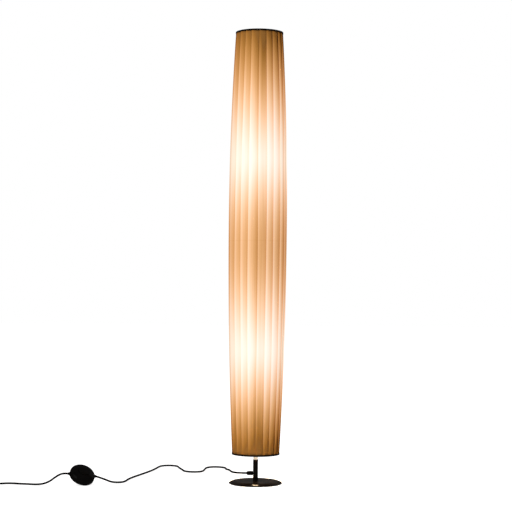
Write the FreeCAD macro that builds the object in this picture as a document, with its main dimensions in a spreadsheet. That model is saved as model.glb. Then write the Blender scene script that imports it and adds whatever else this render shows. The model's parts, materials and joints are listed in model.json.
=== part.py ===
"""A column floor lamp: a barrel-shaped pleated shade with two bulbs on a thin pole and disc base.

Millimetres. Z is up, the origin is on the floor under the middle of the base, the front of the
lamp looks along -Y and its cord leaves the pole towards -X.
"""
import FreeCAD, Part
import Sketcher
import math
import os

from FreeCAD import Placement, Rotation, Vector

doc = FreeCAD.newDocument("ColumnLamp")
sheet = doc.addObject("Spreadsheet::Sheet", "Sizes")

# Driving dimensions. Lengths in millimetres, angles in degrees.
DIMENSIONS = {
    # whole lamp
    "total_height": 1200.0,
    "running_gap": 0.3,
    # base
    "pad_thickness": 1.5,
    "pad_inset": 3.5,
    "base_radius": 70.5,
    "base_thickness": 6.5,
    "base_rim_height": 2.5,
    "base_rim_slope": 10.0,
    "base_rim_fillet": 1.8,
    "base_web": 3.0,
    "base_recess_radius": 18.0,
    "washer_thickness": 1.2,
    "washer_radius": 14.0,
    "base_nut_thickness": 3.0,
    "nut_circumradius": 9.6,
    # pole
    "tube_radius": 5.0,
    "tube_wall": 1.0,
    "sleeve_radius": 6.65,
    "sleeve_top": 64.0,
    "collar_radius": 5.9,
    # cord gland
    "gland_height": 28.0,
    "gland_radius": 5.8,
    "gland_length": 17.0,
    "gland_taper": 4.5,
    "gland_tip_wall": 1.0,
    "gland_neck_radius": 3.2,
    # shade frame
    "wire_radius": 1.5,
    "upright_radius": 1.2,
    "upright_count": 6,
    "upright_start_angle": 279.0,
    "arm_count": 3,
    "arm_start_angle": 90.0,
    "hub_radius": 11.0,
    "hub_thickness": 4.0,
    "hub_nut_thickness": 4.0,
    "top_hub_depth": 16.0,
    "cap_nut_height": 10.0,
    "cap_nut_radius": 8.0,
    "cap_nut_chamfer": 1.5,
    "tube_above_hub": 7.0,
    "mid_ring_height": 643.0,
    # pleated cover
    "shade_bottom": 78.0,
    "shade_end_radius": 62.6,
    "shade_belly_radius": 77.4,
    "shade_belly_height": 694.0,
    "pleat_count": 21,
    "pleat_depth": 3.0,
    "cover_wall": 1.0,
    "binding_thickness": 1.0,
    "binding_lip": 2.6,
    "binding_lip_wall": 0.5,
    # bulbs and lampholders
    "lower_bulb_height": 355.0,
    "upper_bulb_height": 859.0,
    "holder_offset": 32.0,
    "bulb_radius": 22.5,
    "bulb_length": 78.0,
    "glass_wall": 0.8,
    "bulb_cap_radius": 13.1,
    "bulb_cap_height": 22.0,
    "bulb_cap_start": 3.0,
    "bulb_cap_shoulder": 3.0,
    "bulb_cap_end_radius": 10.0,
    "bulb_neck_step": 0.5,
    "bulb_contact_radius": 3.5,
    "bulb_contact_edge": 1.0,
    "bulb_insulator_radius": 9.5,
    "cap_wall": 0.6,
    "screw_shell_wall": 0.5,
    "lining_gap": 0.4,
    "lining_recess": 2.0,
    "holder_radius": 19.5,
    "holder_wall": 2.0,
    "holder_skirt": 38.0,
    "holder_cap_height": 20.0,
    "holder_cap_side": 6.0,
    "holder_cap_shoulder": 10.7,
    "holder_boss_wall": 3.0,
    "holder_boss_height": 8.0,
    "holder_core_floor": 10.0,
    "contact_radius": 3.0,
    "contact_height": 1.7,
    "holder_lip": 2.3,
    "nipple_radius": 5.0,
    "nipple_wall": 1.5,
    "nipple_length": 15.0,
    "nipple_in_cap": 7.0,
    "bracket_thickness": 2.0,
    "bracket_width": 16.0,
    "bracket_collar_radius": 9.0,
    "bracket_collar_height": 12.0,
    "bracket_screw_radius": 2.0,
    "bracket_screw_head": 3.5,
    "bracket_screw_head_height": 2.4,
    "bracket_screw_margin": 1.0,
    "holder_nut_thickness": 3.5,
    "holder_nut_circumradius": 8.1,
    "lead_radius": 1.1,
    "lead_corner_drop": 78.0,
    "lead_hole_radius": 3.6,
    "lead_hole_rise": 6.2,
    # foot switch, in its own frame: the cord runs along its X and its button faces its Z
    "switch_radius": 33.5,
    "switch_height": 22.6,
    "switch_side": 8.0,
    "switch_wall": 2.0,
    "switch_seam": 5.5,
    "switch_x": -455.0,
    "switch_y": -50.0,
    "switch_floor_gap": 0.4,
    "switch_heading": 24.0,
    "switch_dip": 8.0,
    "switch_roll": 38.0,
    "button_radius": 15.0,
    "button_rise": 1.2,
    "button_crown": 1.6,
    "button_edge_width": 0.8,
    "button_edge_height": 0.6,
    "button_flange": 2.0,
    "button_flange_thickness": 1.0,
    "button_travel": 3.0,
    "switch_pillar_radius": 3.5,
    "switch_pillar_place": 24.0,
    "switch_screw_radius": 1.4,
    "switch_screw_head": 2.8,
    "switch_screw_head_height": 1.0,
    "switch_screw_length": 10.0,
    "switch_sink_depth": 1.1,
    "switch_slack": 0.1,
    "switch_pilot_slack": 0.05,
    "switch_foot_radius": 4.0,
    "switch_foot_thickness": 1.2,
    "switch_foot_place": 25.0,
    "block_length": 17.0,
    "block_width": 14.0,
    "block_height": 7.0,
    "plunger_radius": 2.2,
    "spring_radius": 4.4,
    "spring_wire": 0.35,
    "spring_half_turns": 9,
    "clamp_length": 12.0,
    "clamp_width": 4.0,
    "clamp_height": 2.2,
    "clamp_place": 22.0,
    "bushing_length": 5.0,
    "bushing_radius": 4.6,
    "bushing_neck": 3.4,
    "bushing_collar": 1.2,
    "bushing_tip_wall": 0.4,
    "bushing_tail": 1.0,
    # mains cord, coil and plug
    "cord_radius": 2.5,
    "stripped_cord_radius": 1.6,
    "cord_floor_gap": 0.1,
    "coil_x": -722.0,
    "coil_y": -48.0,
    "coil_outer_radius": 31.6,
    "coil_turn_step": 5.6,
    "coil_layer_step": 5.5,
    "tie_width": 7.0,
    "tie_wall": 1.0,
    "plug_length": 36.0,
    "plug_width": 35.0,
    "plug_thickness": 13.7,
    "plug_taper": 12.6,
    "plug_neck_margin": 1.5,
    "plug_corner_radius": 4.0,
    "plug_edge_radius": 2.0,
    "plug_pin_radius": 2.0,
    "plug_pin_length": 19.0,
    "plug_pin_spacing": 18.6,
    "relief_length": 20.0,
    "relief_radius": 4.6,
    "relief_tip_wall": 0.6,
}


class Size:
    """A size held twice: as its number and as the sheet formula that gives it."""

    def __init__(self, value, formula):
        self.value = value
        self.formula = formula

    def __add__(self, other):
        return Size(self.value + number(other), "(%s + %s)" % (self.formula, formula(other)))

    def __sub__(self, other):
        return Size(self.value - number(other), "(%s - %s)" % (self.formula, formula(other)))

    def __mul__(self, other):
        return Size(self.value * number(other), "(%s * %s)" % (self.formula, formula(other)))

    def __rsub__(self, other):
        return Size(number(other) - self.value, "(%s - %s)" % (formula(other), self.formula))

    def __truediv__(self, other):
        return Size(self.value / number(other), "(%s / %s)" % (self.formula, formula(other)))

    def __neg__(self):
        return Size(-self.value, "(0 - %s)" % self.formula)


def number(size):
    """The plain number of a Size or of a number."""
    return size.value if isinstance(size, Size) else float(size)


def formula(size):
    """The sheet formula of a Size or of a number."""
    return size.formula if isinstance(size, Size) else repr(float(size))


class Dimensions:
    """The rows of the sheet, each readable by its name."""

    def __init__(self, rows):
        for row, (name, value) in enumerate(rows.items(), start=1):
            sheet.set("A%d" % row, name)
            sheet.set("B%d" % row, str(value))
            sheet.setAlias("B%d" % row, name)
            setattr(self, name, Size(float(value), "Sizes." + name))


dim = Dimensions(DIMENSIONS)
# How far a hole's solid runs past each face that it opens.
PAST_FACE = 1.0
doc.recompute()
nodes = {}


def bind(thing, prop, size):
    """Set one property of an object, and tie it to the sheet where the size comes from there."""
    if isinstance(size, Size):
        thing.setExpression(prop, size.formula)
    else:
        setattr(thing, prop, size)


def place(thing, x=0.0, y=0.0, z=0.0, rotation=None):
    """Put an object at a place whose coordinates follow the sheet."""
    base = Vector(number(x), number(y), number(z))
    thing.Placement = Placement(base, rotation or Rotation())
    for axis, size in (("x", x), ("y", y), ("z", z)):
        if isinstance(size, Size):
            thing.setExpression("Placement.Base." + axis, size.formula)
    return thing


def primitive(kind, name, **sizes):
    """A primitive solid with each of its sizes tied to the sheet."""
    thing = doc.addObject("Part::" + kind, name)
    for prop, size in sizes.items():
        bind(thing, prop, size)
    return thing


def cylinder(name, radius, height, x=0.0, y=0.0, z=0.0, rotation=None):
    """A cylinder that starts at a place and grows along its own axis."""
    return place(primitive("Cylinder", name, Radius=radius, Height=height), x, y, z, rotation)


def box(name, length, width, height, x, y, z):
    """A box given by its corner and its three sides."""
    return place(primitive("Box", name, Length=length, Width=width, Height=height), x, y, z)


def hexagon(name, circumradius, height, x=0.0, y=0.0, z=0.0):
    """A hexagonal prism, standing on its flat end."""
    prism = primitive("Prism", name, Circumradius=circumradius, Height=height)
    prism.Polygon = 6
    return place(prism, x, y, z)


def cut(name, base, tool):
    """One object with another taken out of it."""
    thing = doc.addObject("Part::Cut", name)
    thing.Base = base
    thing.Tool = tool
    return thing


def common(name, base, tool):
    """What two objects share."""
    thing = doc.addObject("Part::Common", name)
    thing.Base = base
    thing.Tool = tool
    return thing


def fuse(name, pieces):
    """Several objects joined into one."""
    thing = doc.addObject("Part::MultiFuse", name)
    thing.Shapes = pieces
    return thing


def group(name, pieces):
    """Several like pieces kept as separate solids of one node."""
    thing = doc.addObject("Part::Compound", name)
    thing.Links = pieces
    return thing


def node(label, thing, placement=None):
    """Register an object as one named piece of the lamp."""
    thing.Label = label
    if placement is not None:
        thing.Placement = placement
    nodes[label] = thing
    return thing


def origin_plane(body, role):
    """One of the three planes through a body's own origin."""
    return next(plane for plane in body.Origin.OriginFeatures if plane.Role == role)


def outline_sketch(body, name, role, corners):
    """A closed outline of straight edges whose corners are tied to the sheet."""
    sketch = body.newObject("Sketcher::SketchObject", name)
    sketch.AttachmentSupport = (origin_plane(body, role), [""])
    sketch.MapMode = "FlatFace"
    points = [Vector(number(across), number(up), 0) for across, up in corners]
    for index, point in enumerate(points):
        sketch.addGeometry(Part.LineSegment(point, points[(index + 1) % len(points)]), False)
    for index in range(len(points)):
        following = (index + 1) % len(points)
        sketch.addConstraint(Sketcher.Constraint("Coincident", index, 2, following, 1))
    for index, corner in enumerate(corners):
        for kind, axis, size in (("DistanceX", -2, corner[0]), ("DistanceY", -1, corner[1])):
            tie_corner(sketch, index, kind, axis, size)
    return sketch


def tie_corner(sketch, index, kind, axis, size):
    """Hold one coordinate of one corner at a size of the sheet."""
    value = number(size)
    if abs(value) < 1e-9:
        sketch.addConstraint(Sketcher.Constraint("PointOnObject", index, 1, axis))
        return
    if value > 0:
        held = sketch.addConstraint(Sketcher.Constraint(kind, -1, 1, index, 1, value))
    else:
        held = sketch.addConstraint(Sketcher.Constraint(kind, index, 1, -1, 1, -value))
        size = -size if isinstance(size, Size) else size
    if isinstance(size, Size):
        sketch.setExpression("Constraints[%d]" % held, size.formula)


def turned(name, corners):
    """A body of revolution about Z from an outline of (radius, height) corners."""
    body = doc.addObject("PartDesign::Body", name)
    sketch = outline_sketch(body, name + "_outline", "XZ_Plane", corners)
    turn = body.newObject("PartDesign::Revolution", name + "_turn")
    turn.Profile = sketch
    turn.ReferenceAxis = (sketch, ["V_Axis"])
    turn.Angle = 360.0
    return body


def ring(name, inner, outer, low, high):
    """A flat ring or a short tube about Z between two heights."""
    return turned(name, [(inner, low), (outer, low), (outer, high), (inner, high)])


def hex_nut(name, circumradius, bore, thickness, y, z):
    """A hexagonal nut with a plain bore."""
    blank = hexagon(name + "_blank", circumradius, thickness, 0.0, y, z)
    hole = cylinder(name + "_hole", bore, thickness + 2 * PAST_FACE, 0.0, y, z - PAST_FACE)
    return cut(name, blank, hole)


def circular_edges(shape, radius, height):
    """Names of the round edges of a shape that lie at one radius and one height."""
    found = []
    for index, edge in enumerate(shape.Edges, start=1):
        curve = edge.Curve
        if not isinstance(curve, Part.Circle):
            continue
        if abs(curve.Radius - radius) < 0.01 and abs(curve.Center.z - height) < 0.01:
            found.append("Edge%d" % index)
    return found


# ---------------------------------------------------------------- heights shared by the pieces

base_top = dim.pad_thickness + dim.base_thickness
recess_top = base_top - dim.base_web
tube_bore = dim.tube_radius - dim.tube_wall
fit_bore = dim.tube_radius + dim.running_gap
nut_bottom = recess_top - dim.washer_thickness - dim.base_nut_thickness
ring_z = dim.shade_bottom + dim.binding_thickness + dim.running_gap + dim.wire_radius
top_ring_z = dim.total_height - dim.binding_thickness - dim.running_gap - dim.wire_radius
top_hub_z = top_ring_z - dim.top_hub_depth
hub_half = dim.hub_thickness / 2
tube_top = top_hub_z + hub_half + dim.tube_above_hub
lining_depth = dim.pleat_depth + dim.cover_wall
ring_inset = lining_depth + dim.running_gap + dim.wire_radius
upright_inset = ring_inset + dim.wire_radius + dim.upright_radius


def side_radius(height, inset=0.0):
    """Radius of the shade's outside at a height: an arc each way from its belly to its ends."""
    rise = height - dim.shade_belly_height.value
    if rise > 0:
        reach = dim.total_height.value - dim.shade_belly_height.value
    else:
        reach = dim.shade_belly_height.value - dim.shade_bottom.value
    draw = dim.shade_belly_radius.value - dim.shade_end_radius.value
    arc = (reach * reach + draw * draw) / (2.0 * draw)
    return dim.shade_belly_radius.value - inset - (arc - math.sqrt(arc * arc - rise * rise))


# ---------------------------------------------------------------- base


def make_base():
    """A heavy disc with a sloped rim, its pad, and the washer and nut that clamp the pole."""
    pad_outer = dim.base_radius - dim.pad_inset
    node("base_pad", ring("base_pad", dim.base_recess_radius, pad_outer, 0.0, dim.pad_thickness))

    rim_top = dim.pad_thickness + dim.base_rim_height
    flat_radius = dim.base_radius - dim.base_rim_slope
    disc = turned("base_disc", [
        (fit_bore, recess_top),
        (dim.base_recess_radius, recess_top),
        (dim.base_recess_radius, dim.pad_thickness),
        (dim.base_radius, dim.pad_thickness),
        (dim.base_radius, rim_top),
        (flat_radius, base_top),
        (fit_bore, base_top),
    ])
    doc.recompute()
    blank = disc.Tip
    edges = circular_edges(blank.Shape, dim.base_radius.value, rim_top.value)
    edges += circular_edges(blank.Shape, flat_radius.value, base_top.value)
    rounding = disc.newObject("PartDesign::Fillet", "base_disc_rounding")
    rounding.Base = (blank, edges)
    bind(rounding, "Radius", dim.base_rim_fillet)
    disc.Tip = rounding
    node("base_disc", disc)

    washer_bottom = recess_top - dim.washer_thickness
    node("base_washer", ring("base_washer", fit_bore, dim.washer_radius, washer_bottom, recess_top))
    nut = hex_nut("base_nut", dim.nut_circumradius, fit_bore, dim.base_nut_thickness,
                  0.0, nut_bottom)
    node("base_nut", nut)


# ---------------------------------------------------------------- pole


def holder_tip(bulb_height):
    """Height of a bulb's contact, from the height of the middle of its globe."""
    return bulb_height + dim.bulb_radius - dim.bulb_length


def make_pole():
    """The full-length tube, the black sleeve and bright collar over its foot, and the gland."""
    rod = cylinder("centre_tube_rod", dim.tube_radius, tube_top - nut_bottom, z=nut_bottom)
    bore = cylinder("centre_tube_bore", tube_bore, tube_top - nut_bottom + 2 * PAST_FACE,
                    z=nut_bottom - PAST_FACE)
    to_left = Rotation(Vector(0, 1, 0), -90)
    to_back = Rotation(Vector(1, 0, 0), -90)
    gland_hole = cylinder("centre_tube_gland_hole", dim.gland_neck_radius + dim.running_gap,
                          dim.tube_radius * 2, z=dim.gland_height, rotation=to_left)
    openings = [bore, gland_hole]
    for name, bulb_height in (("lower", dim.lower_bulb_height), ("upper", dim.upper_bulb_height)):
        hole_height = holder_tip(bulb_height) - dim.lead_corner_drop + dim.lead_hole_rise
        openings.append(cylinder("centre_tube_%s_hole" % name, dim.lead_hole_radius,
                                 dim.tube_radius * 2, z=hole_height, rotation=to_back))
    node("centre_tube", cut("centre_tube", rod, fuse("centre_tube_openings", openings)))

    blank = ring("pole_sleeve_blank", fit_bore, dim.sleeve_radius, base_top, dim.sleeve_top)
    side_hole = cylinder("pole_sleeve_hole", dim.gland_neck_radius + dim.running_gap,
                         dim.sleeve_radius * 2, z=dim.gland_height, rotation=to_left)
    node("pole_sleeve", cut("pole_sleeve", blank, side_hole))

    node("sleeve_collar", ring("sleeve_collar", fit_bore, dim.collar_radius,
                               dim.sleeve_top, ring_z - hub_half))

    # The gland is turned about its own Z, which then points along -X.
    seat = dim.sleeve_radius + dim.running_gap
    end = dim.sleeve_radius + dim.gland_length
    gland = turned("cord_gland", [
        (dim.stripped_cord_radius, tube_bore),
        (dim.gland_neck_radius, tube_bore),
        (dim.gland_neck_radius, seat),
        (dim.gland_radius, seat),
        (dim.gland_radius, end - dim.gland_taper),
        (dim.cord_radius + dim.gland_tip_wall, end),
        (dim.stripped_cord_radius, end),
    ])
    node("cord_gland", place(gland, z=dim.gland_height, rotation=to_left))


# ---------------------------------------------------------------- shade frame


def spider(name, end_z, hub_z):
    """A wire ring held to a central hub by straight arms."""
    ring_radius = dim.shade_end_radius - ring_inset
    hoop = place(primitive("Torus", name + "_hoop", Radius1=ring_radius, Radius2=dim.wire_radius),
                 z=end_z)
    hub = cylinder(name + "_hub", dim.hub_radius, dim.hub_thickness, z=hub_z - hub_half)
    parts = [hoop, hub]
    inner = dim.hub_radius - dim.wire_radius
    span = ring_radius - inner
    rise = number(end_z) - number(hub_z)
    slope = math.degrees(math.atan2(rise, span.value))
    for index in range(int(dim.arm_count.value)):
        angle = dim.arm_start_angle.value + index * 360.0 / dim.arm_count.value
        around = Rotation(Vector(0, 0, 1), angle)
        start = around.multVec(Vector(inner.value, 0, number(hub_z)))
        lie = Rotation(Vector(0, 1, 0), 90.0 - slope)
        arm = cylinder("%s_arm_%d" % (name, index), dim.wire_radius,
                       math.hypot(rise, span.value))
        arm.Placement = Placement(start, around.multiply(lie))
        parts.append(arm)
    bore = cylinder(name + "_bore", fit_bore, dim.hub_thickness + 2 * PAST_FACE,
                    z=hub_z - hub_half - PAST_FACE)
    return cut(name, fuse(name + "_wires", parts), bore)


def on_upright(height):
    """The middle of an upright wire at a height, in the XZ plane."""
    return Vector(side_radius(height, upright_inset.value), 0, height)


def upright_wire(low, high):
    """One bowed wire in the XZ plane between two heights: an arc on each side of the belly."""
    belly = dim.shade_belly_height.value
    heights = [low, belly, high] if low < belly < high else [low, high]
    arcs = []
    for start, end in zip(heights, heights[1:]):
        arc = Part.Arc(on_upright(start), on_upright((start + end) / 2), on_upright(end))
        arcs.append(arc.toShape())
    return sweep_round(arcs, dim.upright_radius.value)


def make_uprights(label, low, high):
    """The wires of one half of the frame, evenly round it, as separate solids."""
    count = int(dim.upright_count.value)
    first = upright_wire(low.value, high.value)
    wires = []
    for index in range(count):
        wire = doc.addObject("Part::Feature", "%s_%d" % (label, index))
        wire.Shape = first.copy()
        angle = dim.upright_start_angle.value + index * 360.0 / count
        wire.Placement = Placement(Vector(), Rotation(Vector(0, 0, 1), angle))
        wires.append(wire)
    node(label, group(label, wires))


def make_shade_frame():
    """Two end spiders, a middle ring, the uprights between them and the nuts that hold them."""
    node("bottom_spider", spider("bottom_spider", ring_z, ring_z))
    nut = hex_nut("bottom_hub_nut", dim.nut_circumradius, fit_bore, dim.hub_nut_thickness,
                  0.0, ring_z + hub_half)
    node("bottom_hub_nut", nut)
    node("top_spider", spider("top_spider", top_ring_z, top_hub_z))
    lock = hex_nut("top_lock_nut", dim.nut_circumradius, fit_bore, dim.hub_nut_thickness,
                   0.0, top_hub_z - hub_half - dim.hub_nut_thickness)
    node("top_lock_nut", lock)
    cap_bottom = top_hub_z + hub_half
    cap_roof = cap_bottom + dim.tube_above_hub + dim.running_gap
    cap_top = cap_bottom + dim.cap_nut_height
    cap = turned("top_cap_nut", [
        (fit_bore, cap_bottom),
        (dim.cap_nut_radius, cap_bottom),
        (dim.cap_nut_radius, cap_top - dim.cap_nut_chamfer),
        (dim.cap_nut_radius - dim.cap_nut_chamfer, cap_top),
        (0.0, cap_top),
        (0.0, cap_roof),
        (fit_bore, cap_roof),
    ])
    node("top_cap_nut", cap)

    mid = doc.addObject("Part::Torus", "shade_mid_ring")
    mid.Radius1 = side_radius(dim.mid_ring_height.value, ring_inset.value)
    bind(mid, "Radius2", dim.wire_radius)
    node("shade_mid_ring", place(mid, z=dim.mid_ring_height))

    make_uprights("lower_uprights", ring_z, dim.mid_ring_height)
    make_uprights("upper_uprights", dim.mid_ring_height, top_ring_z)


# ---------------------------------------------------------------- pleated cover

COVER_SECTIONS = 7
PLEAT_FALL = 0.84


def pleat_section(height, inset):
    """One level of the cover: each pleat starts at a sharp ridge and falls inwards to the next."""
    ridge = side_radius(height, inset)
    valley = ridge - dim.pleat_depth.value
    step = 2 * math.pi / dim.pleat_count.value
    points = []
    for index in range(int(dim.pleat_count.value)):
        angle = -math.pi / 2 + index * step
        for radius, turn in ((ridge, angle), (valley, angle + PLEAT_FALL * step)):
            points.append(Vector(radius * math.cos(turn), radius * math.sin(turn), height))
    points.append(points[0])
    return Part.makePolygon(points)


def pleated_solid(inset):
    """A closed solid lofted through the pleated levels."""
    low = (dim.shade_bottom + dim.binding_thickness).value
    high = (dim.total_height - dim.binding_thickness).value
    levels = [low + (high - low) * step / (COVER_SECTIONS - 1) for step in range(COVER_SECTIONS)]
    return Part.makeLoft([pleat_section(level, inset) for level in levels], True, False)


def binding(name, end, direction):
    """An edge binding: a flat ring under the cover's end with a thin lip up its outside."""
    inner = dim.shade_end_radius - lining_depth
    lip_inner = dim.shade_end_radius + dim.running_gap
    lip_outer = lip_inner + dim.binding_lip_wall
    ledge = end + dim.binding_thickness * direction
    lip = end + (dim.binding_thickness + dim.binding_lip) * direction
    return turned(name, [(inner, end), (lip_outer, end), (lip_outer, lip), (lip_inner, lip),
                         (lip_inner, ledge), (inner, ledge)])


def make_cover():
    """The pleated fabric with its two dark edge bindings."""
    cover = doc.addObject("Part::Feature", "shade_cover")
    cover.Shape = pleated_solid(0.0).cut(pleated_solid(dim.cover_wall.value))
    node("shade_cover", cover)
    node("bottom_binding", binding("bottom_binding", dim.shade_bottom, 1))
    node("top_binding", binding("top_binding", dim.total_height, -1))


# ---------------------------------------------------------------- lampholders and bulbs


def make_bracket(side, tip):
    """A steel strip on a collar that carries one lampholder behind the pole."""
    name = side + "_bracket"
    seat = holder_seat(tip)
    collar = cylinder(name + "_collar", dim.bracket_collar_radius, dim.bracket_collar_height,
                      z=seat - dim.bracket_collar_height)
    strip = box(name + "_strip", dim.bracket_width, dim.holder_offset, dim.bracket_thickness,
                -dim.bracket_width / 2, 0.0, seat - dim.bracket_thickness)
    end = cylinder(name + "_end", dim.bracket_width / 2, dim.bracket_thickness,
                   y=dim.holder_offset, z=seat - dim.bracket_thickness)
    tube_hole = cylinder(name + "_tube_hole", fit_bore, dim.bracket_collar_height + 2 * PAST_FACE,
                         z=seat - dim.bracket_collar_height - PAST_FACE)
    nipple_hole = cylinder(name + "_nipple_hole", dim.nipple_radius + dim.running_gap,
                           dim.bracket_thickness + 2 * PAST_FACE, y=dim.holder_offset,
                           z=seat - dim.bracket_thickness - PAST_FACE)
    screw_hole = cylinder(name + "_screw_hole", dim.bracket_screw_radius + dim.running_gap / 3,
                          dim.bracket_collar_radius + PAST_FACE, z=bracket_screw_height(tip),
                          rotation=Rotation(Vector(1, 0, 0), 90))
    solid = fuse(name + "_solid", [collar, strip, end])
    holes = fuse(name + "_holes", [tube_hole, nipple_hole, screw_hole])
    node(name, cut(name, solid, holes))


def holder_floor(tip):
    """Height of the floor of a lampholder's core, which carries the centre contact."""
    return tip - dim.contact_height - dim.running_gap


def holder_seat(tip):
    """Height of the bracket's top face, on which the lampholder stands."""
    return holder_floor(tip) - dim.holder_core_floor - dim.holder_cap_height


def bracket_screw_height(tip):
    """Height of the screw that clamps a bracket's collar to the tube."""
    drop = dim.bracket_thickness + dim.bracket_screw_head + dim.bracket_screw_margin
    return holder_seat(tip) - drop


def bracket_screw(name, tip):
    """A cheese-head screw through the front of a bracket's collar, down to the tube."""
    start = dim.tube_radius + dim.running_gap / 3
    head_start = dim.bracket_collar_radius + dim.running_gap / 3
    head_end = head_start + dim.bracket_screw_head_height
    screw = turned(name, [
        (0.0, start),
        (dim.bracket_screw_radius, start),
        (dim.bracket_screw_radius, head_start),
        (dim.bracket_screw_head, head_start),
        (dim.bracket_screw_head, head_end),
        (0.0, head_end),
    ])
    return place(screw, z=bracket_screw_height(tip), rotation=Rotation(Vector(1, 0, 0), 90))


def make_holder(side, tip):
    """An insulated lampholder: cap, skirt, core cup, thread lining and centre contact."""
    core_floor = holder_floor(tip)
    core_bottom = core_floor - dim.holder_core_floor
    skirt_top = core_bottom + dim.holder_skirt
    skirt_inner = dim.holder_radius - dim.holder_wall
    cap_bottom = holder_seat(tip)
    nipple_fit = dim.nipple_radius + dim.running_gap
    cap_inner = skirt_inner - dim.holder_wall
    cap_side_low = core_bottom - dim.holder_cap_side
    boss_top = cap_bottom + dim.holder_boss_height

    cap = turned(side + "_holder_cap", [
        (nipple_fit, cap_bottom),
        (dim.holder_cap_shoulder, cap_bottom),
        (dim.holder_radius, cap_side_low),
        (dim.holder_radius, core_bottom - dim.running_gap / 2),
        (cap_inner, core_bottom - dim.running_gap / 2),
        (cap_inner, cap_side_low),
        (nipple_fit + dim.holder_boss_wall, boss_top),
        (nipple_fit, boss_top),
    ])
    node(side + "_holder_cap", place(cap, y=dim.holder_offset))

    skirt = turned(side + "_holder_skirt", [
        (skirt_inner, core_bottom),
        (dim.holder_radius, core_bottom),
        (dim.holder_radius, skirt_top),
        (skirt_inner - dim.holder_lip, skirt_top),
        (skirt_inner - dim.holder_lip, skirt_top - dim.holder_wall),
        (skirt_inner, skirt_top - dim.holder_wall),
    ])
    node(side + "_holder_skirt", place(skirt, y=dim.holder_offset))

    lining_inner = dim.bulb_cap_radius + dim.lining_gap
    lining_outer = lining_inner + dim.screw_shell_wall
    core_top = skirt_top - dim.holder_wall - dim.running_gap
    core = turned(side + "_holder_core", [
        (0.0, core_bottom),
        (skirt_inner - dim.running_gap, core_bottom),
        (skirt_inner - dim.running_gap, core_top),
        (lining_outer + dim.running_gap, core_top),
        (lining_outer + dim.running_gap, core_floor),
        (0.0, core_floor),
    ])
    node(side + "_holder_core", place(core, y=dim.holder_offset))

    lining = ring(side + "_thread_lining", lining_inner, lining_outer,
                  core_floor, core_top - dim.lining_recess)
    node(side + "_thread_lining", place(lining, y=dim.holder_offset))

    contact = cylinder(side + "_centre_contact", dim.contact_radius, dim.contact_height,
                       y=dim.holder_offset, z=core_floor)
    node(side + "_centre_contact", contact)


def nipple(name, tip):
    """The short threaded tube that joins a lampholder's cap to its bracket."""
    high = holder_seat(tip) + dim.nipple_in_cap
    low = high - dim.nipple_length
    thread = ring(name, dim.nipple_radius - dim.nipple_wall, dim.nipple_radius, low, high)
    return place(thread, y=dim.holder_offset)


# Where a bulb's neck joins its globe, as a share of the globe's radius below its middle.
NECK_JOIN = 0.62


def make_bulb(side, tip):
    """A golf-ball bulb: hollow globe with a neck, screw cap and end contact."""
    centre = tip + dim.bulb_length - dim.bulb_radius
    neck_low = tip + dim.bulb_cap_start + dim.bulb_cap_height
    neck_radius = dim.bulb_cap_radius - dim.bulb_neck_step
    neck_high = centre - dim.bulb_radius * NECK_JOIN
    join_radius = dim.bulb_radius * math.sqrt(1 - NECK_JOIN ** 2)
    outside = fuse(side + "_bulb_outside", [
        place(primitive("Sphere", side + "_bulb_globe", Radius=dim.bulb_radius), z=centre),
        place(primitive("Cone", side + "_bulb_neck", Radius1=neck_radius, Radius2=join_radius,
                        Height=neck_high - neck_low), z=neck_low),
    ])
    hollow_shift = dim.glass_wall / 2
    inside = fuse(side + "_bulb_inside", [
        place(primitive("Sphere", side + "_bulb_hollow", Radius=dim.bulb_radius - dim.glass_wall),
              z=centre),
        place(primitive("Cone", side + "_bulb_hollow_neck", Radius1=neck_radius - dim.glass_wall,
                        Radius2=join_radius - dim.glass_wall,
                        Height=neck_high - neck_low + hollow_shift),
              z=neck_low - hollow_shift),
    ])
    glass = cut(side + "_bulb_glass", outside, inside)
    node(side + "_bulb_glass", place(glass, y=dim.holder_offset))

    cap_low = tip + dim.bulb_cap_start
    cap_inner = dim.bulb_cap_radius - dim.cap_wall
    boss_radius = dim.bulb_contact_radius + dim.bulb_contact_edge
    cap = turned(side + "_bulb_cap", [
        (boss_radius, cap_low),
        (dim.bulb_cap_end_radius, cap_low),
        (dim.bulb_cap_radius, cap_low + dim.bulb_cap_shoulder),
        (dim.bulb_cap_radius, neck_low),
        (cap_inner, neck_low),
        (cap_inner, cap_low + dim.bulb_cap_shoulder + dim.cap_wall),
        (dim.bulb_cap_end_radius - dim.cap_wall, cap_low + dim.cap_wall),
        (boss_radius, cap_low + dim.cap_wall),
    ])
    node(side + "_bulb_cap", place(cap, y=dim.holder_offset))

    plug_radius = boss_radius - dim.running_gap / 3
    contact = turned(side + "_bulb_contact", [
        (0.0, tip),
        (dim.bulb_contact_radius, tip),
        (boss_radius, tip + dim.bulb_contact_edge),
        (dim.bulb_insulator_radius, cap_low),
        (plug_radius, cap_low),
        (plug_radius, cap_low + dim.bulb_contact_edge),
        (0.0, cap_low + dim.bulb_contact_edge),
    ])
    node(side + "_bulb_contact", place(contact, y=dim.holder_offset))


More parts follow.
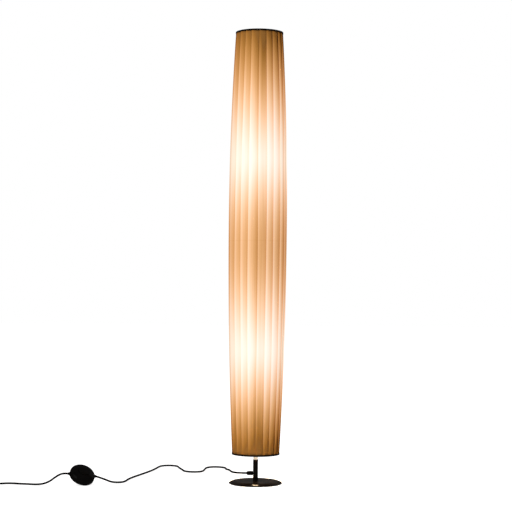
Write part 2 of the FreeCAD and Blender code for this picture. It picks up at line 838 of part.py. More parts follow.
def make_lamps():
    """Both lampholders with their brackets, leads and bulbs."""
    screws = []
    nipples = []
    nuts = []
    levels = (("lower", dim.lower_bulb_height, -1), ("upper", dim.upper_bulb_height, 1))
    for side, bulb_height, hand in levels:
        tip = holder_tip(bulb_height)
        make_bracket(side, tip)
        make_holder(side, tip)
        make_bulb(side, tip)
        screws.append(bracket_screw(side + "_bracket_screw", tip))
        nipples.append(nipple(side + "_nipple", tip))
        nut_z = holder_seat(tip) - dim.bracket_thickness - dim.holder_nut_thickness
        nuts.append(hex_nut(side + "_holder_nut", dim.holder_nut_circumradius,
                            dim.nipple_radius + dim.running_gap, dim.holder_nut_thickness,
                            dim.holder_offset, nut_z))
        make_lead(side, tip.value, hand)
    node("bracket_screws", group("bracket_screws", screws))
    node("holder_nipples", group("holder_nipples", nipples))
    node("holder_nuts", group("holder_nuts", nuts))


# ---------------------------------------------------------------- tubes along a route


def bend_radius(before, corner, after):
    """The arc at a corner: 0.45 of the shorter run, over the tangent of half the turn."""
    half_turn = (corner - before).getAngle(after - corner) / 2
    return 0.45 * min((corner - before).Length, (after - corner).Length) / math.tan(half_turn)


def route_wire(points):
    """Straight runs through the points, joined at each corner by a tangent arc."""
    corners = [Vector(*point) for point in points]
    edges = []
    start = corners[0]
    for before, corner, after in zip(corners, corners[1:], corners[2:]):
        back = (before - corner).normalize()
        ahead = (after - corner).normalize()
        reach = 0.45 * min((corner - before).Length, (after - corner).Length)
        enter = corner + back * reach
        leave = corner + ahead * reach
        radius = bend_radius(before, corner, after)
        inwards = (back + ahead).normalize()
        middle = corner + inwards * (math.hypot(radius, reach) - radius)
        edges.append(Part.LineSegment(start, enter).toShape())
        edges.append(Part.Arc(enter, middle, leave).toShape())
        start = leave
    edges.append(Part.LineSegment(start, corners[-1]).toShape())
    return Part.Wire(edges)


def route_tube(name, points, radius):
    """A round tube along a route; prints its bends and compares its volume with its length."""
    path = route_wire(points)
    direction = Vector(*points[1]) - Vector(*points[0])
    section = Part.Wire(Part.Circle(Vector(*points[0]), direction, radius).toShape())
    tube = doc.addObject("Part::Feature", name)
    tube.Shape = path.makePipeShell([section], True, False)
    corners = [Vector(*point) for point in points]
    bends = [bend_radius(*three) for three in zip(corners, corners[1:], corners[2:])]
    expected = math.pi * radius ** 2 * path.Length
    print("%s: length %.1f, volume %.4f of section x length, bend radii %s" % (
        name, path.Length, tube.Shape.Volume / expected, [round(bend, 1) for bend in bends]))
    return tube


LEAD_START = 6.0
LEAD_RUN = 70.0
LEAD_SWAY = 0.25
# Corners of a lead's way out of the tube: share of its place aside, way back, height above its bend.
LEAD_EXIT = ((0.3, 0, 0), (0.2, 12, 17))
# Then behind the pole, up into the lampholder: way back from its axis, height below its contact.
LEAD_RISE = ((-6, -50), (0, -40), (0.5, -27))


def make_lead(side, tip, hand):
    """One lamp's lead: up inside the tube, out of its side hole and up into the lampholder."""
    aside = hand * (tube_bore - dim.lead_radius - dim.running_gap).value
    low = dim.gland_height.value + LEAD_START
    route = [(aside, 0, low)]
    bend = tip - dim.lead_corner_drop.value
    steps = int((bend - low) // LEAD_RUN)
    for step in range(1, steps):
        sway = LEAD_SWAY if step % 2 else -LEAD_SWAY
        route.append((aside + sway * hand, sway, low + (bend - low) * step / steps))
    for share, back, rise in LEAD_EXIT:
        route.append((aside * share, back, bend + rise))
    for back, rise in LEAD_RISE:
        route.append((0, dim.holder_offset.value + back, tip + rise))
    node(side + "_lead", route_tube(side + "_lead", route, dim.lead_radius.value))


# ---------------------------------------------------------------- foot switch


def switch_placement():
    """Where the switch lies: turned, dipped and rolled by its stiff cord, one edge on the floor."""
    turn = Rotation(Vector(0, 0, 1), dim.switch_heading.value)
    turn = turn.multiply(Rotation(Vector(0, 1, 0), dim.switch_dip.value))
    turn = turn.multiply(Rotation(Vector(1, 0, 0), dim.switch_roll.value))
    facing = turn.multVec(Vector(0, 0, 1))
    edge_drop = dim.switch_radius.value * math.sqrt(1 - facing.z ** 2)
    base = Vector(dim.switch_x.value, dim.switch_y.value,
                  edge_drop + dim.switch_floor_gap.value)
    return Placement(base, turn)


def dome(name, radius, height, inset):
    """A cylinder side under half an ellipsoid, drawn in all round by an inset."""
    side = cylinder(name + "_side", radius - inset, dim.switch_side)
    crown = primitive("Ellipsoid", name + "_crown", Radius1=height - dim.switch_side - inset,
                      Radius2=radius - inset, Radius3=radius - inset, Angle1=0.0)
    return fuse(name, [side, place(crown, z=dim.switch_side)])


def make_switch(lie):
    """The foot switch on the cord: base cup, domed cover, push button and what is inside."""
    inner = dim.switch_radius - dim.switch_wall
    cord_hole_radius = dim.bushing_neck + dim.running_gap

    cup = turned("switch_base_cup", [
        (0.0, 0.0),
        (dim.switch_radius, 0.0),
        (dim.switch_radius, dim.switch_seam),
        (inner, dim.switch_seam),
        (inner, dim.switch_wall),
        (0.0, dim.switch_wall),
    ])
    across = Rotation(Vector(0, 1, 0), 90)
    cord_way_length = (dim.switch_radius + PAST_FACE) * 2
    cord_way = cylinder("switch_base_cord_way", cord_hole_radius, cord_way_length,
                        x=-cord_way_length / 2, z=dim.switch_seam, rotation=across)
    screw_holes = switch_spread("switch_base_hole", dim.switch_screw_radius + dim.running_gap,
                                dim.switch_wall + 2 * PAST_FACE, -PAST_FACE)
    head_sinks = switch_spread("switch_base_sink", dim.switch_screw_head + dim.running_gap,
                               dim.switch_sink_depth + PAST_FACE, -PAST_FACE)
    base = cut("switch_base", cup, fuse("switch_base_holes", [cord_way] + screw_holes + head_sinks))
    node("switch_base", base, lie)

    shell = cut("switch_cover_shell", dome("switch_cover_outside", dim.switch_radius,
                                           dim.switch_height, 0.0),
                dome("switch_cover_inside", dim.switch_radius, dim.switch_height,
                     dim.switch_wall))
    columns = switch_spread("switch_cover_column", dim.switch_pillar_radius,
                            dim.switch_height - dim.switch_wall, dim.switch_wall)
    pillars = common("switch_cover_pillars", fuse("switch_cover_columns", columns),
                     dome("switch_cover_limit", dim.switch_radius, dim.switch_height, 0.0))
    below = cylinder("switch_cover_below", dim.switch_radius + PAST_FACE,
                     dim.switch_seam + PAST_FACE + dim.running_gap / 2, z=-PAST_FACE)
    upper = cut("switch_cover_upper", shell, below)
    opening = cylinder("switch_cover_opening", dim.button_radius + dim.running_gap + dim.switch_slack,
                       dim.switch_height, z=dim.switch_wall)
    pilot_holes = switch_spread("switch_cover_pilot", dim.switch_screw_radius + dim.switch_pilot_slack,
                                dim.switch_screw_length, 0.0)
    cord_way_up = cylinder("switch_cover_cord_way", cord_hole_radius, cord_way_length,
                           x=-cord_way_length / 2, z=dim.switch_seam, rotation=across)
    cover = cut("switch_cover", fuse("switch_cover_solid", [upper, pillars]),
                fuse("switch_cover_holes", [opening, cord_way_up] + pilot_holes))
    node("switch_cover", cover, lie)

    make_button(lie)
    make_switch_inside(lie)

    screws = []
    feet = []
    head_low = dim.switch_slack
    head_top = head_low + dim.switch_screw_head_height
    screw_end = dim.switch_screw_length - dim.running_gap
    for index in range(3):
        angle = math.radians(switch_angle(index))
        spot = (dim.switch_pillar_place * math.cos(angle), dim.switch_pillar_place * math.sin(angle))
        screw = turned("switch_screw_%d" % index, [
            (0.0, head_low),
            (dim.switch_screw_head, head_low),
            (dim.switch_screw_head, head_top),
            (dim.switch_screw_radius, head_top),
            (dim.switch_screw_radius, screw_end),
            (0.0, screw_end),
        ])
        screws.append(place(screw, x=spot[0], y=spot[1]))
        foot_angle = angle + math.pi / 3
        feet.append(cylinder("switch_foot_%d" % index, dim.switch_foot_radius,
                             dim.switch_foot_thickness,
                             x=dim.switch_foot_place * math.cos(foot_angle),
                             y=dim.switch_foot_place * math.sin(foot_angle),
                             z=-dim.switch_foot_thickness))
    node("switch_screws", group("switch_screws", screws), lie)
    node("switch_feet", group("switch_feet", feet), lie)


def switch_angle(index):
    """Direction of each of the switch's three screws, clear of the cord's way."""
    return 90.0 + 120.0 * index


def switch_spread(name, radius, height, low):
    """Three upright cylinders where the switch's screws are."""
    spread = []
    for index in range(3):
        angle = math.radians(switch_angle(index))
        spread.append(cylinder("%s_%d" % (name, index), radius, height,
                               x=dim.switch_pillar_place * math.cos(angle),
                               y=dim.switch_pillar_place * math.sin(angle), z=low))
    return spread


def button_underside():
    """Height of the button's flat underside, its flange just under the cover's crown."""
    inner_radius = dim.switch_radius - dim.switch_wall
    inner_rise = dim.switch_height - dim.switch_side - dim.switch_wall
    flange_reach = (dim.button_radius + dim.button_flange).value / inner_radius.value
    crown = dim.switch_side + inner_rise * math.sqrt(1 - flange_reach ** 2)
    return crown - dim.running_gap - dim.button_flange_thickness


# Where the button's rounded top has its points, as shares of its radius.
CROWN_SHARES = (0.75, 0.4)


def make_button(lie):
    """The push button: a shallow crown in the cover's opening, kept in by a flange."""
    under = button_underside()
    top = dim.switch_height + dim.button_rise
    shoulder = top - dim.button_crown
    flange_radius = dim.button_radius + dim.button_flange
    outline = [
        (0.0, under),
        (flange_radius, under),
        (flange_radius, under + dim.button_flange_thickness),
        (dim.button_radius, under + dim.button_flange_thickness),
        (dim.button_radius, shoulder - dim.button_edge_height),
        (dim.button_radius - dim.button_edge_width, shoulder),
    ]
    for share in CROWN_SHARES:
        outline.append((dim.button_radius * share, top - dim.button_crown * share ** 2))
    button = turned("switch_button", outline + [(0.0, top)])
    node("switch_button", button, lie)


def make_switch_inside(lie):
    """Switching block with its plunger, return spring, cord clamps and cord bushings."""
    block = box("switch_block", dim.block_length, dim.block_width, dim.block_height,
                -dim.block_length / 2, -dim.block_width / 2, dim.switch_wall)
    block_top = dim.switch_wall + dim.block_height
    plunger_height = button_underside() - block_top - dim.button_travel - dim.running_gap
    plunger = cylinder("switch_plunger", dim.plunger_radius, plunger_height, z=block_top)
    node("switch_mechanism", fuse("switch_mechanism", [block, plunger]), lie)

    spring = doc.addObject("Part::Feature", "switch_spring")
    slack = dim.switch_slack.value
    spring.Shape = coil_spring(block_top.value + slack, button_underside().value - slack)
    node("switch_spring", spring, lie)

    clamps = []
    bushings = []
    for hand in (-1, 1):
        low = dim.switch_wall
        middle = dim.clamp_place * hand
        clamps.append(box("switch_clamp_%s" % ("left", "right")[hand > 0],
                          dim.clamp_width, dim.clamp_length, dim.clamp_height,
                          middle - dim.clamp_width / 2, -dim.clamp_length / 2, low))
        inside = dim.switch_radius - dim.switch_wall - dim.bushing_tail
        collar = dim.switch_radius + dim.running_gap
        end = dim.switch_radius + dim.bushing_length
        bushing = turned("switch_bushing_%s" % ("left", "right")[hand > 0], [
            (dim.stripped_cord_radius, inside),
            (dim.bushing_neck, inside),
            (dim.bushing_neck, collar),
            (dim.bushing_radius, collar),
            (dim.bushing_radius, collar + dim.bushing_collar),
            (dim.cord_radius + dim.bushing_tip_wall, end),
            (dim.stripped_cord_radius, end),
        ])
        bushings.append(place(bushing, z=dim.switch_seam,
                              rotation=Rotation(Vector(0, 1, 0), 90.0 * hand)))
    node("switch_clamps", group("switch_clamps", clamps), lie)
    node("switch_bushings", group("switch_bushings", bushings), lie)


# ---------------------------------------------------------------- windings


def biarc(start, start_way, end, end_way):
    """Two tangent arcs from one point and direction to another."""
    span = end - start
    ways = start_way + end_way
    quad = 2 * (1 - start_way.dot(end_way))
    linear = 2 * span.dot(ways)
    reach = (-linear + math.sqrt(linear * linear + 4 * quad * span.dot(span))) / (2 * quad)
    first = start + start_way * reach
    second = end - end_way * reach
    join = (first + second) * 0.5
    edges = []
    for low, knee, high in ((start, first, join), (join, second, end)):
        back = (low - knee).normalize()
        ahead = (high - knee).normalize()
        half_turn = math.pi / 2 - back.getAngle(ahead) / 2
        radius = (knee - low).Length / math.tan(half_turn)
        inwards = (back + ahead).normalize()
        middle = knee + inwards * (math.hypot(radius, (knee - low).Length) - radius)
        edges.append(Part.Arc(low, middle, high).toShape())
    return edges


def winding_edges(place_at, counts):
    """Biarcs through the places that a winding reaches after each count of half turns."""
    small = 0.01
    places = [place_at(count) for count in counts]
    ways = [(place_at(count + small) - place_at(count - small)).normalize() for count in counts]
    edges = []
    for index in range(len(counts) - 1):
        edges += biarc(places[index], ways[index], places[index + 1], ways[index + 1])
    return edges


def around(count, radius, height):
    """A point on a winding that starts in front of its middle and first runs towards -X."""
    angle = math.pi * count
    return Vector(-radius * math.sin(angle), -radius * math.cos(angle), height)


def sweep_round(edges, radius):
    """A round tube along a chain of edges."""
    path = Part.Wire(edges)
    first = path.Edges[0]
    start = first.valueAt(first.FirstParameter)
    section = Part.Wire(Part.Circle(start, first.tangentAt(first.FirstParameter), radius).toShape())
    return path.makePipeShell([section], True, False)


def coil_spring(low, high):
    """The return spring: rising half turns of wire, its ends inside the two heights."""
    wire = dim.spring_wire.value
    count = int(dim.spring_half_turns.value)
    bottom = low + wire * 1.5
    rise = (high - low - 3 * wire) / count

    def place_at(turn):
        return around(turn, dim.spring_radius.value, bottom + rise * turn)

    return sweep_round(winding_edges(place_at, range(count + 1)), wire)


GAP_POINTS = 600
GAP_APART = 40.0


def least_self_gap(path, radius):
    """Least gap between the surfaces of a winding's turns, measured on points of its line."""
    points = path.discretize(GAP_POINTS)
    skip = int(GAP_APART / path.Length * GAP_POINTS)
    least = min((points[i] - points[j]).Length
                for i in range(len(points)) for j in range(i + skip, len(points)))
    return least - 2 * radius


COIL_CLIMB = 3
COIL_COUNTS = (0, 1, 2, 3, 3.5, 4, 5, 6)


def coil_place(count):
    """A point of the coil's line: it spirals in, climbs a layer in a half turn and spirals out."""
    reversal = COIL_CLIMB + 0.5
    inwards = min(count, 2 * reversal - count)
    climb = min(max(count - COIL_CLIMB, 0.0), 1.0)
    level = (1 - math.cos(math.pi * climb)) / 2
    radius = dim.coil_outer_radius.value - dim.coil_turn_step.value * inwards / 2
    height = (dim.cord_radius + dim.cord_floor_gap + dim.coil_layer_step * level).value
    return around(count, radius, height) + Vector(dim.coil_x.value, dim.coil_y.value, 0)


def coil_path():
    """The put-away coil between two short straight ends, and where those ends are."""
    edges = winding_edges(coil_place, COIL_COUNTS)
    first = edges[0]
    last = edges[-1]
    enter = first.valueAt(first.FirstParameter)
    leave = last.valueAt(last.LastParameter)
    run_in = first.tangentAt(first.FirstParameter) * (2 * dim.cord_radius.value)
    run_out = last.tangentAt(last.LastParameter) * (2 * dim.cord_radius.value)
    before = Part.LineSegment(enter - run_in, enter).toShape()
    after = Part.LineSegment(leave, leave + run_out).toShape()
    return [before] + edges + [after], enter - run_in, leave + run_out


# ---------------------------------------------------------------- cord and plug

# Corners of the cord's free stretches, from the gland to the switch and on to the coil, and the
# last stretch's corners as steps over the floor from the coil's end.
LAMP_TO_SWITCH = [
    (-41, 0, 28), (-59, 11.7, 28), (-65.6, 34.7, 27.5), (-69, 74, 25), (-73, 128, 20),
    (-79, 186, 13.5), (-83, 240, 7.5), (-84, 281, 4), (-88, 313, 2.6), (-114, 328, 2.6),
    (-139, 314, 2.6), (-144, 271, 2.6), (-147, 220, 2.6), (-173, 205, 2.6), (-199, 219, 2.6),
    (-207.5, 260, 2.6), (-219, 300, 2.6), (-224, 336, 2.6), (-249, 351, 2.6), (-274, 336, 2.6),
    (-281, 288, 2.6), (-290, 236, 2.6), (-304, 184, 2.6), (-318, 135, 2.6), (-333, 86, 2.6),
    (-342, 42, 2.6), (-344, 10, 2.6), (-354, -18, 2.6), (-379, -27, 4.2), (-396.5, -27.6, 12),
]
SWITCH_TO_COIL = [
    (-497, -72.4, 32.4), (-509, -76.8, 29.7), (-521.5, -79, 21.7), (-534, -79, 11.9),
    (-550.6, -76.7, 5.1), (-569.2, -72, 2.6), (-592, -65.5, 2.6), (-616, -60, 2.6),
    (-641, -51, 2.6), (-665, -60, 2.6), (-690, -80.5, 2.6),
]
COIL_TO_PLUG = ((-16, -0.5), (-34, -4), (-52, -6))


def make_cord(lie):
    """The mains cord from the gland through the switch to the coil and its plug."""
    radius = dim.cord_radius.value
    gland_face = (-(dim.sleeve_radius + dim.gland_length).value, 0.0, dim.gland_height.value)
    reach = (dim.switch_radius + dim.bushing_length).value
    right_end = lie.multVec(Vector(reach, 0, dim.switch_seam.value))
    left_end = lie.multVec(Vector(-reach, 0, dim.switch_seam.value))
    first = [gland_face] + LAMP_TO_SWITCH + [tuple(right_end)]
    node("cord_to_switch", route_tube("cord_to_switch", first, radius))

    edges, enter, leave = coil_path()
    second = [tuple(left_end)] + SWITCH_TO_COIL + [tuple(enter)]
    node("cord_to_coil", route_tube("cord_to_coil", second, radius))

    coil = doc.addObject("Part::Feature", "cord_coil")
    coil.Shape = sweep_round(edges, radius)
    path = Part.Wire(edges)
    print("cord_coil: length %.1f, volume %.4f of section x length, least gap to itself %.2f" % (
        path.Length, coil.Shape.Volume / (math.pi * radius ** 2 * path.Length),
        least_self_gap(path, radius)))
    node("cord_coil", coil)

    plug_z = (dim.plug_thickness / 2 + dim.cord_floor_gap).value
    tail = [tuple(leave)]
    for (step_x, step_y), height in zip(COIL_TO_PLUG, (leave.z, plug_z, plug_z)):
        tail.append((leave.x + step_x, leave.y + step_y, height))
    node("cord_tail", route_tube("cord_tail", tail, radius))
    make_plug(Vector(*tail[-1]), Vector(*tail[-1]) - Vector(*tail[-2]))


def make_plug(start, way):
    """A flat two-pin plug at the cord's end, lying on the floor."""
    heading = math.degrees(math.atan2(way.y, way.x))
    lie = Placement(start, Rotation(Vector(0, 0, 1), heading))
    length = dim.plug_length
    relief = turned("plug_relief", [
        (dim.stripped_cord_radius, 0.0),
        (dim.cord_radius + dim.relief_tip_wall, 0.0),
        (dim.relief_radius, dim.relief_length),
        (dim.stripped_cord_radius, dim.relief_length),
    ])
    ahead = Placement(Vector(), Rotation(Vector(0, 1, 0), 90))
    node("plug_relief", relief, lie.multiply(ahead))

    half_thick = dim.plug_thickness / 2
    neck_half = dim.relief_radius + dim.plug_neck_margin
    body = doc.addObject("PartDesign::Body", "plug_body")
    sketch = outline_sketch(body, "plug_body_outline", "XY_Plane", [
        (dim.relief_length, -neck_half),
        (dim.relief_length + dim.plug_taper, -dim.plug_width / 2),
        (dim.relief_length + length, -dim.plug_width / 2),
        (dim.relief_length + length, dim.plug_width / 2),
        (dim.relief_length + dim.plug_taper, dim.plug_width / 2),
        (dim.relief_length, neck_half),
    ])
    pad = body.newObject("PartDesign::Pad", "plug_body_pad")
    pad.Profile = sketch
    pad.Midplane = True
    bind(pad, "Length", dim.plug_thickness)
    doc.recompute()
    upright = []
    for index, edge in enumerate(pad.Shape.Edges, start=1):
        ends = [vertex.Point for vertex in edge.Vertexes]
        if abs(abs(ends[0].z - ends[1].z) - dim.plug_thickness.value) < 0.01:
            upright.append("Edge%d" % index)
    corners = body.newObject("PartDesign::Fillet", "plug_body_corners")
    corners.Base = (pad, upright)
    bind(corners, "Radius", dim.plug_corner_radius)
    body.Tip = corners
    doc.recompute()
    rims = []
    for index, face in enumerate(corners.Shape.Faces, start=1):
        if abs(face.CenterOfMass.z) > half_thick.value - 0.01:
            rims.append("Face%d" % index)
    edge_round = body.newObject("PartDesign::Fillet", "plug_body_edges")
    edge_round.Base = (corners, rims)
    bind(edge_round, "Radius", dim.plug_edge_radius)
    body.Tip = edge_round
    node("plug_body", body, lie)

    pins = []
    for hand in (-1, 1):
        pin = cylinder("plug_pin_%s" % ("left", "right")[hand > 0], dim.plug_pin_radius,
                       dim.plug_pin_length, x=dim.relief_length + length,
                       y=dim.plug_pin_spacing / 2 * hand, rotation=Rotation(Vector(0, 1, 0), 90))
        pins.append(pin)
    node("plug_pins", group("plug_pins", pins), lie)


def make_tie():
    """A strap round the coil's bundle of turns, where the coil is furthest from the lamp."""
    gap = dim.running_gap
    inner_line = dim.coil_outer_radius - dim.coil_turn_step * COIL_CLIMB / 2
    reach = dim.coil_outer_radius + dim.cord_radius + gap
    inner_reach = inner_line - dim.cord_radius - gap
    top = dim.cord_radius * 2 + dim.coil_layer_step + gap
    wall = dim.tie_wall
    strap = box("coil_tie_outside", reach - inner_reach + wall * 2, dim.tie_width, top + wall,
                -reach - wall, -dim.tie_width / 2, 0.0)
    window = box("coil_tie_window", reach - inner_reach, dim.tie_width + 2 * PAST_FACE,
                 top + PAST_FACE, -reach, -dim.tie_width / 2 - PAST_FACE, -PAST_FACE)
    lie = Placement(Vector(dim.coil_x.value, dim.coil_y.value, 0), Rotation())
    node("coil_tie", cut("coil_tie", strap, window), lie)


# ---------------------------------------------------------------- build, check, write


def check_document():
    """Stop if any object failed, or if a node's shape is missing or not valid."""
    for thing in doc.Objects:
        bad = [state for state in thing.State if state in ("Invalid", "Error")]
        if bad:
            raise RuntimeError("%s is %s" % (thing.Label, bad))
    for label, thing in nodes.items():
        if thing.Shape.isNull() or not thing.Shape.isValid():
            raise RuntimeError("%s has no valid shape" % label)
        if not thing.Shape.Solids:
            raise RuntimeError("%s has no solid" % label)


make_base()
make_pole()
make_shade_frame()
make_cover()
make_lamps()
switch_lie = switch_placement()
make_switch(switch_lie)
make_cord(switch_lie)
make_tie()
doc.recompute()
check_document()

os.makedirs("parts", exist_ok=True)
for label, thing in nodes.items():
    thing.Shape.exportStep("parts/%s.step" % label)
print("%d nodes written" % len(nodes))
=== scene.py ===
# %% [markdown]
# # A column floor lamp with a pleated, lit shade
#
# The lamp is a tall barrel of pleated cloth with two bulbs inside, on a thin black pole and a small
# round base. A mains cord leaves the foot of the pole and lies over the floor to a foot switch.
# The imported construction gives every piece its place. This file dresses it: it gives each metal,
# plastic and wire its finish, and makes new surfaces where the real thing is soft, round or fine.

# %% Load the construction
import json
import math

import bmesh
import bpy
import numpy as np
from mathutils import Matrix, Vector


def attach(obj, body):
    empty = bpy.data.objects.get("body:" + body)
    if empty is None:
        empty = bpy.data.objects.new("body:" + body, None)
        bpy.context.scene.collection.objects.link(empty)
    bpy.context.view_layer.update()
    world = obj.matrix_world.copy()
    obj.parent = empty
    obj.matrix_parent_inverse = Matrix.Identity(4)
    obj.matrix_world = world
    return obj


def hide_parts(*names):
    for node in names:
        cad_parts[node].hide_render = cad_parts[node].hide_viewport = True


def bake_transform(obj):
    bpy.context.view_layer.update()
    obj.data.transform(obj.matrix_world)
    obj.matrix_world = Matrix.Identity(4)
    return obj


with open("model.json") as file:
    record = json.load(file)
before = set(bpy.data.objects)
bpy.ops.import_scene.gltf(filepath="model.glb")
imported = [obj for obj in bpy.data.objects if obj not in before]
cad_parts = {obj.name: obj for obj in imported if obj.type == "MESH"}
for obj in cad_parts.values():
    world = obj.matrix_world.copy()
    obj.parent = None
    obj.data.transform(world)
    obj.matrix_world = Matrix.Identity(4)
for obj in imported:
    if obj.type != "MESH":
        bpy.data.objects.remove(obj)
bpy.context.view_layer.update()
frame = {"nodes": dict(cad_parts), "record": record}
nodes = frame["nodes"]

MM = 0.001

# %% [markdown]
# ## Camera
#
# The picture was taken from well back with a long lens, a little below the middle of the lamp and
# tipped up by about a degree. A long lens keeps the barrel's sides nearly parallel. The camera
# could be aimed with a constraint, but two turns written out are easier to check.

# %% Camera
CAMERA_PLACE = (-3.98 * MM, -3814 * MM, 524.6 * MM)
CAMERA_TILT = math.radians(1.188)
CAMERA_ROLL = math.radians(0.541)
CAMERA_LENS = 100.85

camera_data = bpy.data.cameras.new("camera")
camera_data.lens = CAMERA_LENS
camera_data.sensor_width = 36.0
camera_data.clip_end = 100.0
camera = bpy.data.objects.new("camera", camera_data)
bpy.context.scene.collection.objects.link(camera)
look_level = Matrix.Rotation(math.pi / 2 + CAMERA_TILT, 4, "X")
camera.matrix_world = (Matrix.Translation(CAMERA_PLACE) @ look_level
                       @ Matrix.Rotation(CAMERA_ROLL, 4, "Z"))
bpy.context.scene.camera = camera
print("camera stands", round(-CAMERA_PLACE[1], 2), "m in front of the pole")

# %% [markdown]
# ## Meshes from grids
#
# Nearly every new surface here is a grid of points bent into shape: a shape is a function of two
# numbers, worked out for the whole grid at once with numpy. Two small helpers turn such a grid
# into a Blender mesh and spin an outline round an axis. Blender's own Screw modifier could spin an
# outline too, but with the points in hand the same helper also makes threads, ribs and pleats.


# %% Grid helpers
def unit(vectors):
    """Each vector divided by its own length."""
    return vectors / np.linalg.norm(vectors, axis=-1, keepdims=True)


def tidy_mesh(mesh, sharp_angle, outward=True, capped=False):
    """Merge points that coincide, turn the faces outward, and shade smooth up to an angle."""
    shape = bmesh.new()
    shape.from_mesh(mesh)
    bmesh.ops.remove_doubles(shape, verts=shape.verts, dist=1e-6)
    bmesh.ops.dissolve_degenerate(shape, edges=shape.edges, dist=1e-7)
    loose = [edge for edge in shape.edges if not edge.link_faces]
    bmesh.ops.delete(shape, geom=loose, context="EDGES")
    if capped:
        bmesh.ops.holes_fill(shape, edges=shape.edges, sides=0)
    if outward:
        bmesh.ops.recalc_face_normals(shape, faces=shape.faces)
    shape.to_mesh(mesh)
    shape.free()
    mesh.shade_smooth()
    mesh.set_sharp_from_angle(angle=math.radians(sharp_angle))


def grid_faces(grid, first):
    """Faces that join each point of a grid to its neighbours, numbered from a first point."""
    rows, columns = grid.shape[:2]
    index = first + np.arange(rows * columns).reshape(rows, columns)
    corners = (index[:-1, :-1], index[:-1, 1:], index[1:, 1:], index[1:, :-1])
    return np.stack(corners, axis=-1).reshape(-1, 4)


def piece_from_grid(name, *grids, uv=None, sharp_angle=35.0, outward=True, capped=False):
    """A skin through grids of points of shape (rows, columns, 3), with an optional UV grid."""
    sizes = [grid.shape[0] * grid.shape[1] for grid in grids]
    firsts = np.cumsum([0] + sizes[:-1])
    faces = np.vstack([grid_faces(grid, first) for grid, first in zip(grids, firsts)])
    points = np.vstack([grid.reshape(-1, 3) for grid in grids])
    mesh = bpy.data.meshes.new(name)
    mesh.from_pydata(points.tolist(), [], faces.tolist())
    if uv is not None:
        layer = mesh.uv_layers.new(name="cloth")
        layer.data.foreach_set("uv", uv.reshape(-1, 2)[faces.ravel()].astype(np.float32).ravel())
    tidy_mesh(mesh, sharp_angle, outward, capped)
    piece = bpy.data.objects.new(name, mesh)
    bpy.context.scene.collection.objects.link(piece)
    return piece


def softened(corners, reach, steps=5):
    """A closed outline whose corners are each swapped for a short parabola.

    The curve starts and ends at a distance `reach` before and after the corner and has the
    corner as its control point: (1 - t)^2 before + 2 t (1 - t) corner + t^2 after.
    """
    corners = np.array(corners, dtype=float)
    reach = np.broadcast_to(reach, len(corners))[:, None]
    before = corners + unit(np.roll(corners, 1, axis=0) - corners) * reach
    after = corners + unit(np.roll(corners, -1, axis=0) - corners) * reach
    t = np.linspace(0.0, 1.0, steps)[None, :, None]
    curve = ((1 - t) ** 2 * before[:, None] + 2 * t * (1 - t) * corners[:, None]
             + t ** 2 * after[:, None])
    return curve.reshape(-1, 2)


def spun(outline, turns=96):
    """A closed (radius, height) outline carried once round the Z axis, as a grid of points."""
    loop = np.vstack([outline, outline[:1]])
    angle = np.linspace(0.0, 2 * math.pi, turns + 1)[None, :]
    radius = loop[:, 0][:, None]
    height = np.repeat(loop[:, 1][:, None], turns + 1, axis=1)
    return np.stack([radius * np.cos(angle), radius * np.sin(angle), height], axis=-1)


def placed(points, lie):
    """A grid of points moved by a 4x4 matrix."""
    lie = np.array(lie)
    return points @ lie[:3, :3].T + lie[:3, 3]


# %% [markdown]
# ## Finishes
#
# A finish is a node material. Real black paint, plated steel and moulded plastic are never one
# flat colour: they carry a little grain, blotches that change the gloss, and dust. One helper
# builds that common part from noise in object coordinates, and each finish sets its own scale
# and strength, so that the pattern stays at its real size on every piece. Each finish is kept
# under the name of its slot, where the pieces find it.


# %% Node helpers
def set_inputs(tree, node, levels):
    """Fill inputs of a node; each level is a plain value or another node's socket."""
    for key, level in levels.items():
        if isinstance(level, bpy.types.NodeSocket):
            tree.links.new(level, node.inputs[key])
        else:
            node.inputs[key].default_value = level


def add_node(tree, kind, inputs=None, **settings):
    """A new node of a kind, with its settings and inputs."""
    made = tree.nodes.new(kind)
    for name, value in settings.items():
        setattr(made, name, value)
    set_inputs(tree, made, inputs or {})
    return made


def sums(tree, operation, first, second=0.0, third=0.0):
    """One step of arithmetic on numbers or sockets."""
    made = add_node(tree, "ShaderNodeMath", {0: first, 1: second, 2: third}, operation=operation)
    return made.outputs[0]


def blank_material(name):
    """A new node material with only its shader and output, and the shader and its tree."""
    material = bpy.data.materials.new(name)
    material.use_nodes = True
    tree = material.node_tree
    shader = tree.nodes["Principled BSDF"]
    return material, tree, shader


def object_noise(tree, scale, stretch=(1.0, 1.0, 1.0), detail=3.0, roughness=0.5):
    """Noise in object coordinates; a stretch under 1 along an axis draws it out that way."""
    place = add_node(tree, "ShaderNodeTexCoord").outputs["Object"]
    turned = add_node(tree, "ShaderNodeMapping", {"Vector": place, "Scale": stretch})
    noise = add_node(tree, "ShaderNodeTexNoise",
                     {"Vector": turned.outputs[0], "Scale": scale, "Detail": detail,
                      "Roughness": roughness})
    return noise.outputs["Fac"]


def between(tree, factor, low, high):
    """A number run from low to high as a factor goes from 0.3 to 0.7, the usual reach of noise."""
    made = add_node(tree, "ShaderNodeMapRange",
                    {"Value": factor, "From Min": 0.3, "From Max": 0.7, "To Min": low,
                     "To Max": high})
    return made.outputs["Result"]


def two_colours(tree, factor, first, second):
    """A colour between two colours by a factor."""
    made = add_node(tree, "ShaderNodeMix", {"Factor": factor, "A": (*first, 1.0),
                                            "B": (*second, 1.0)}, data_type="RGBA")
    return made.outputs["Result"]


FINISHES = {}


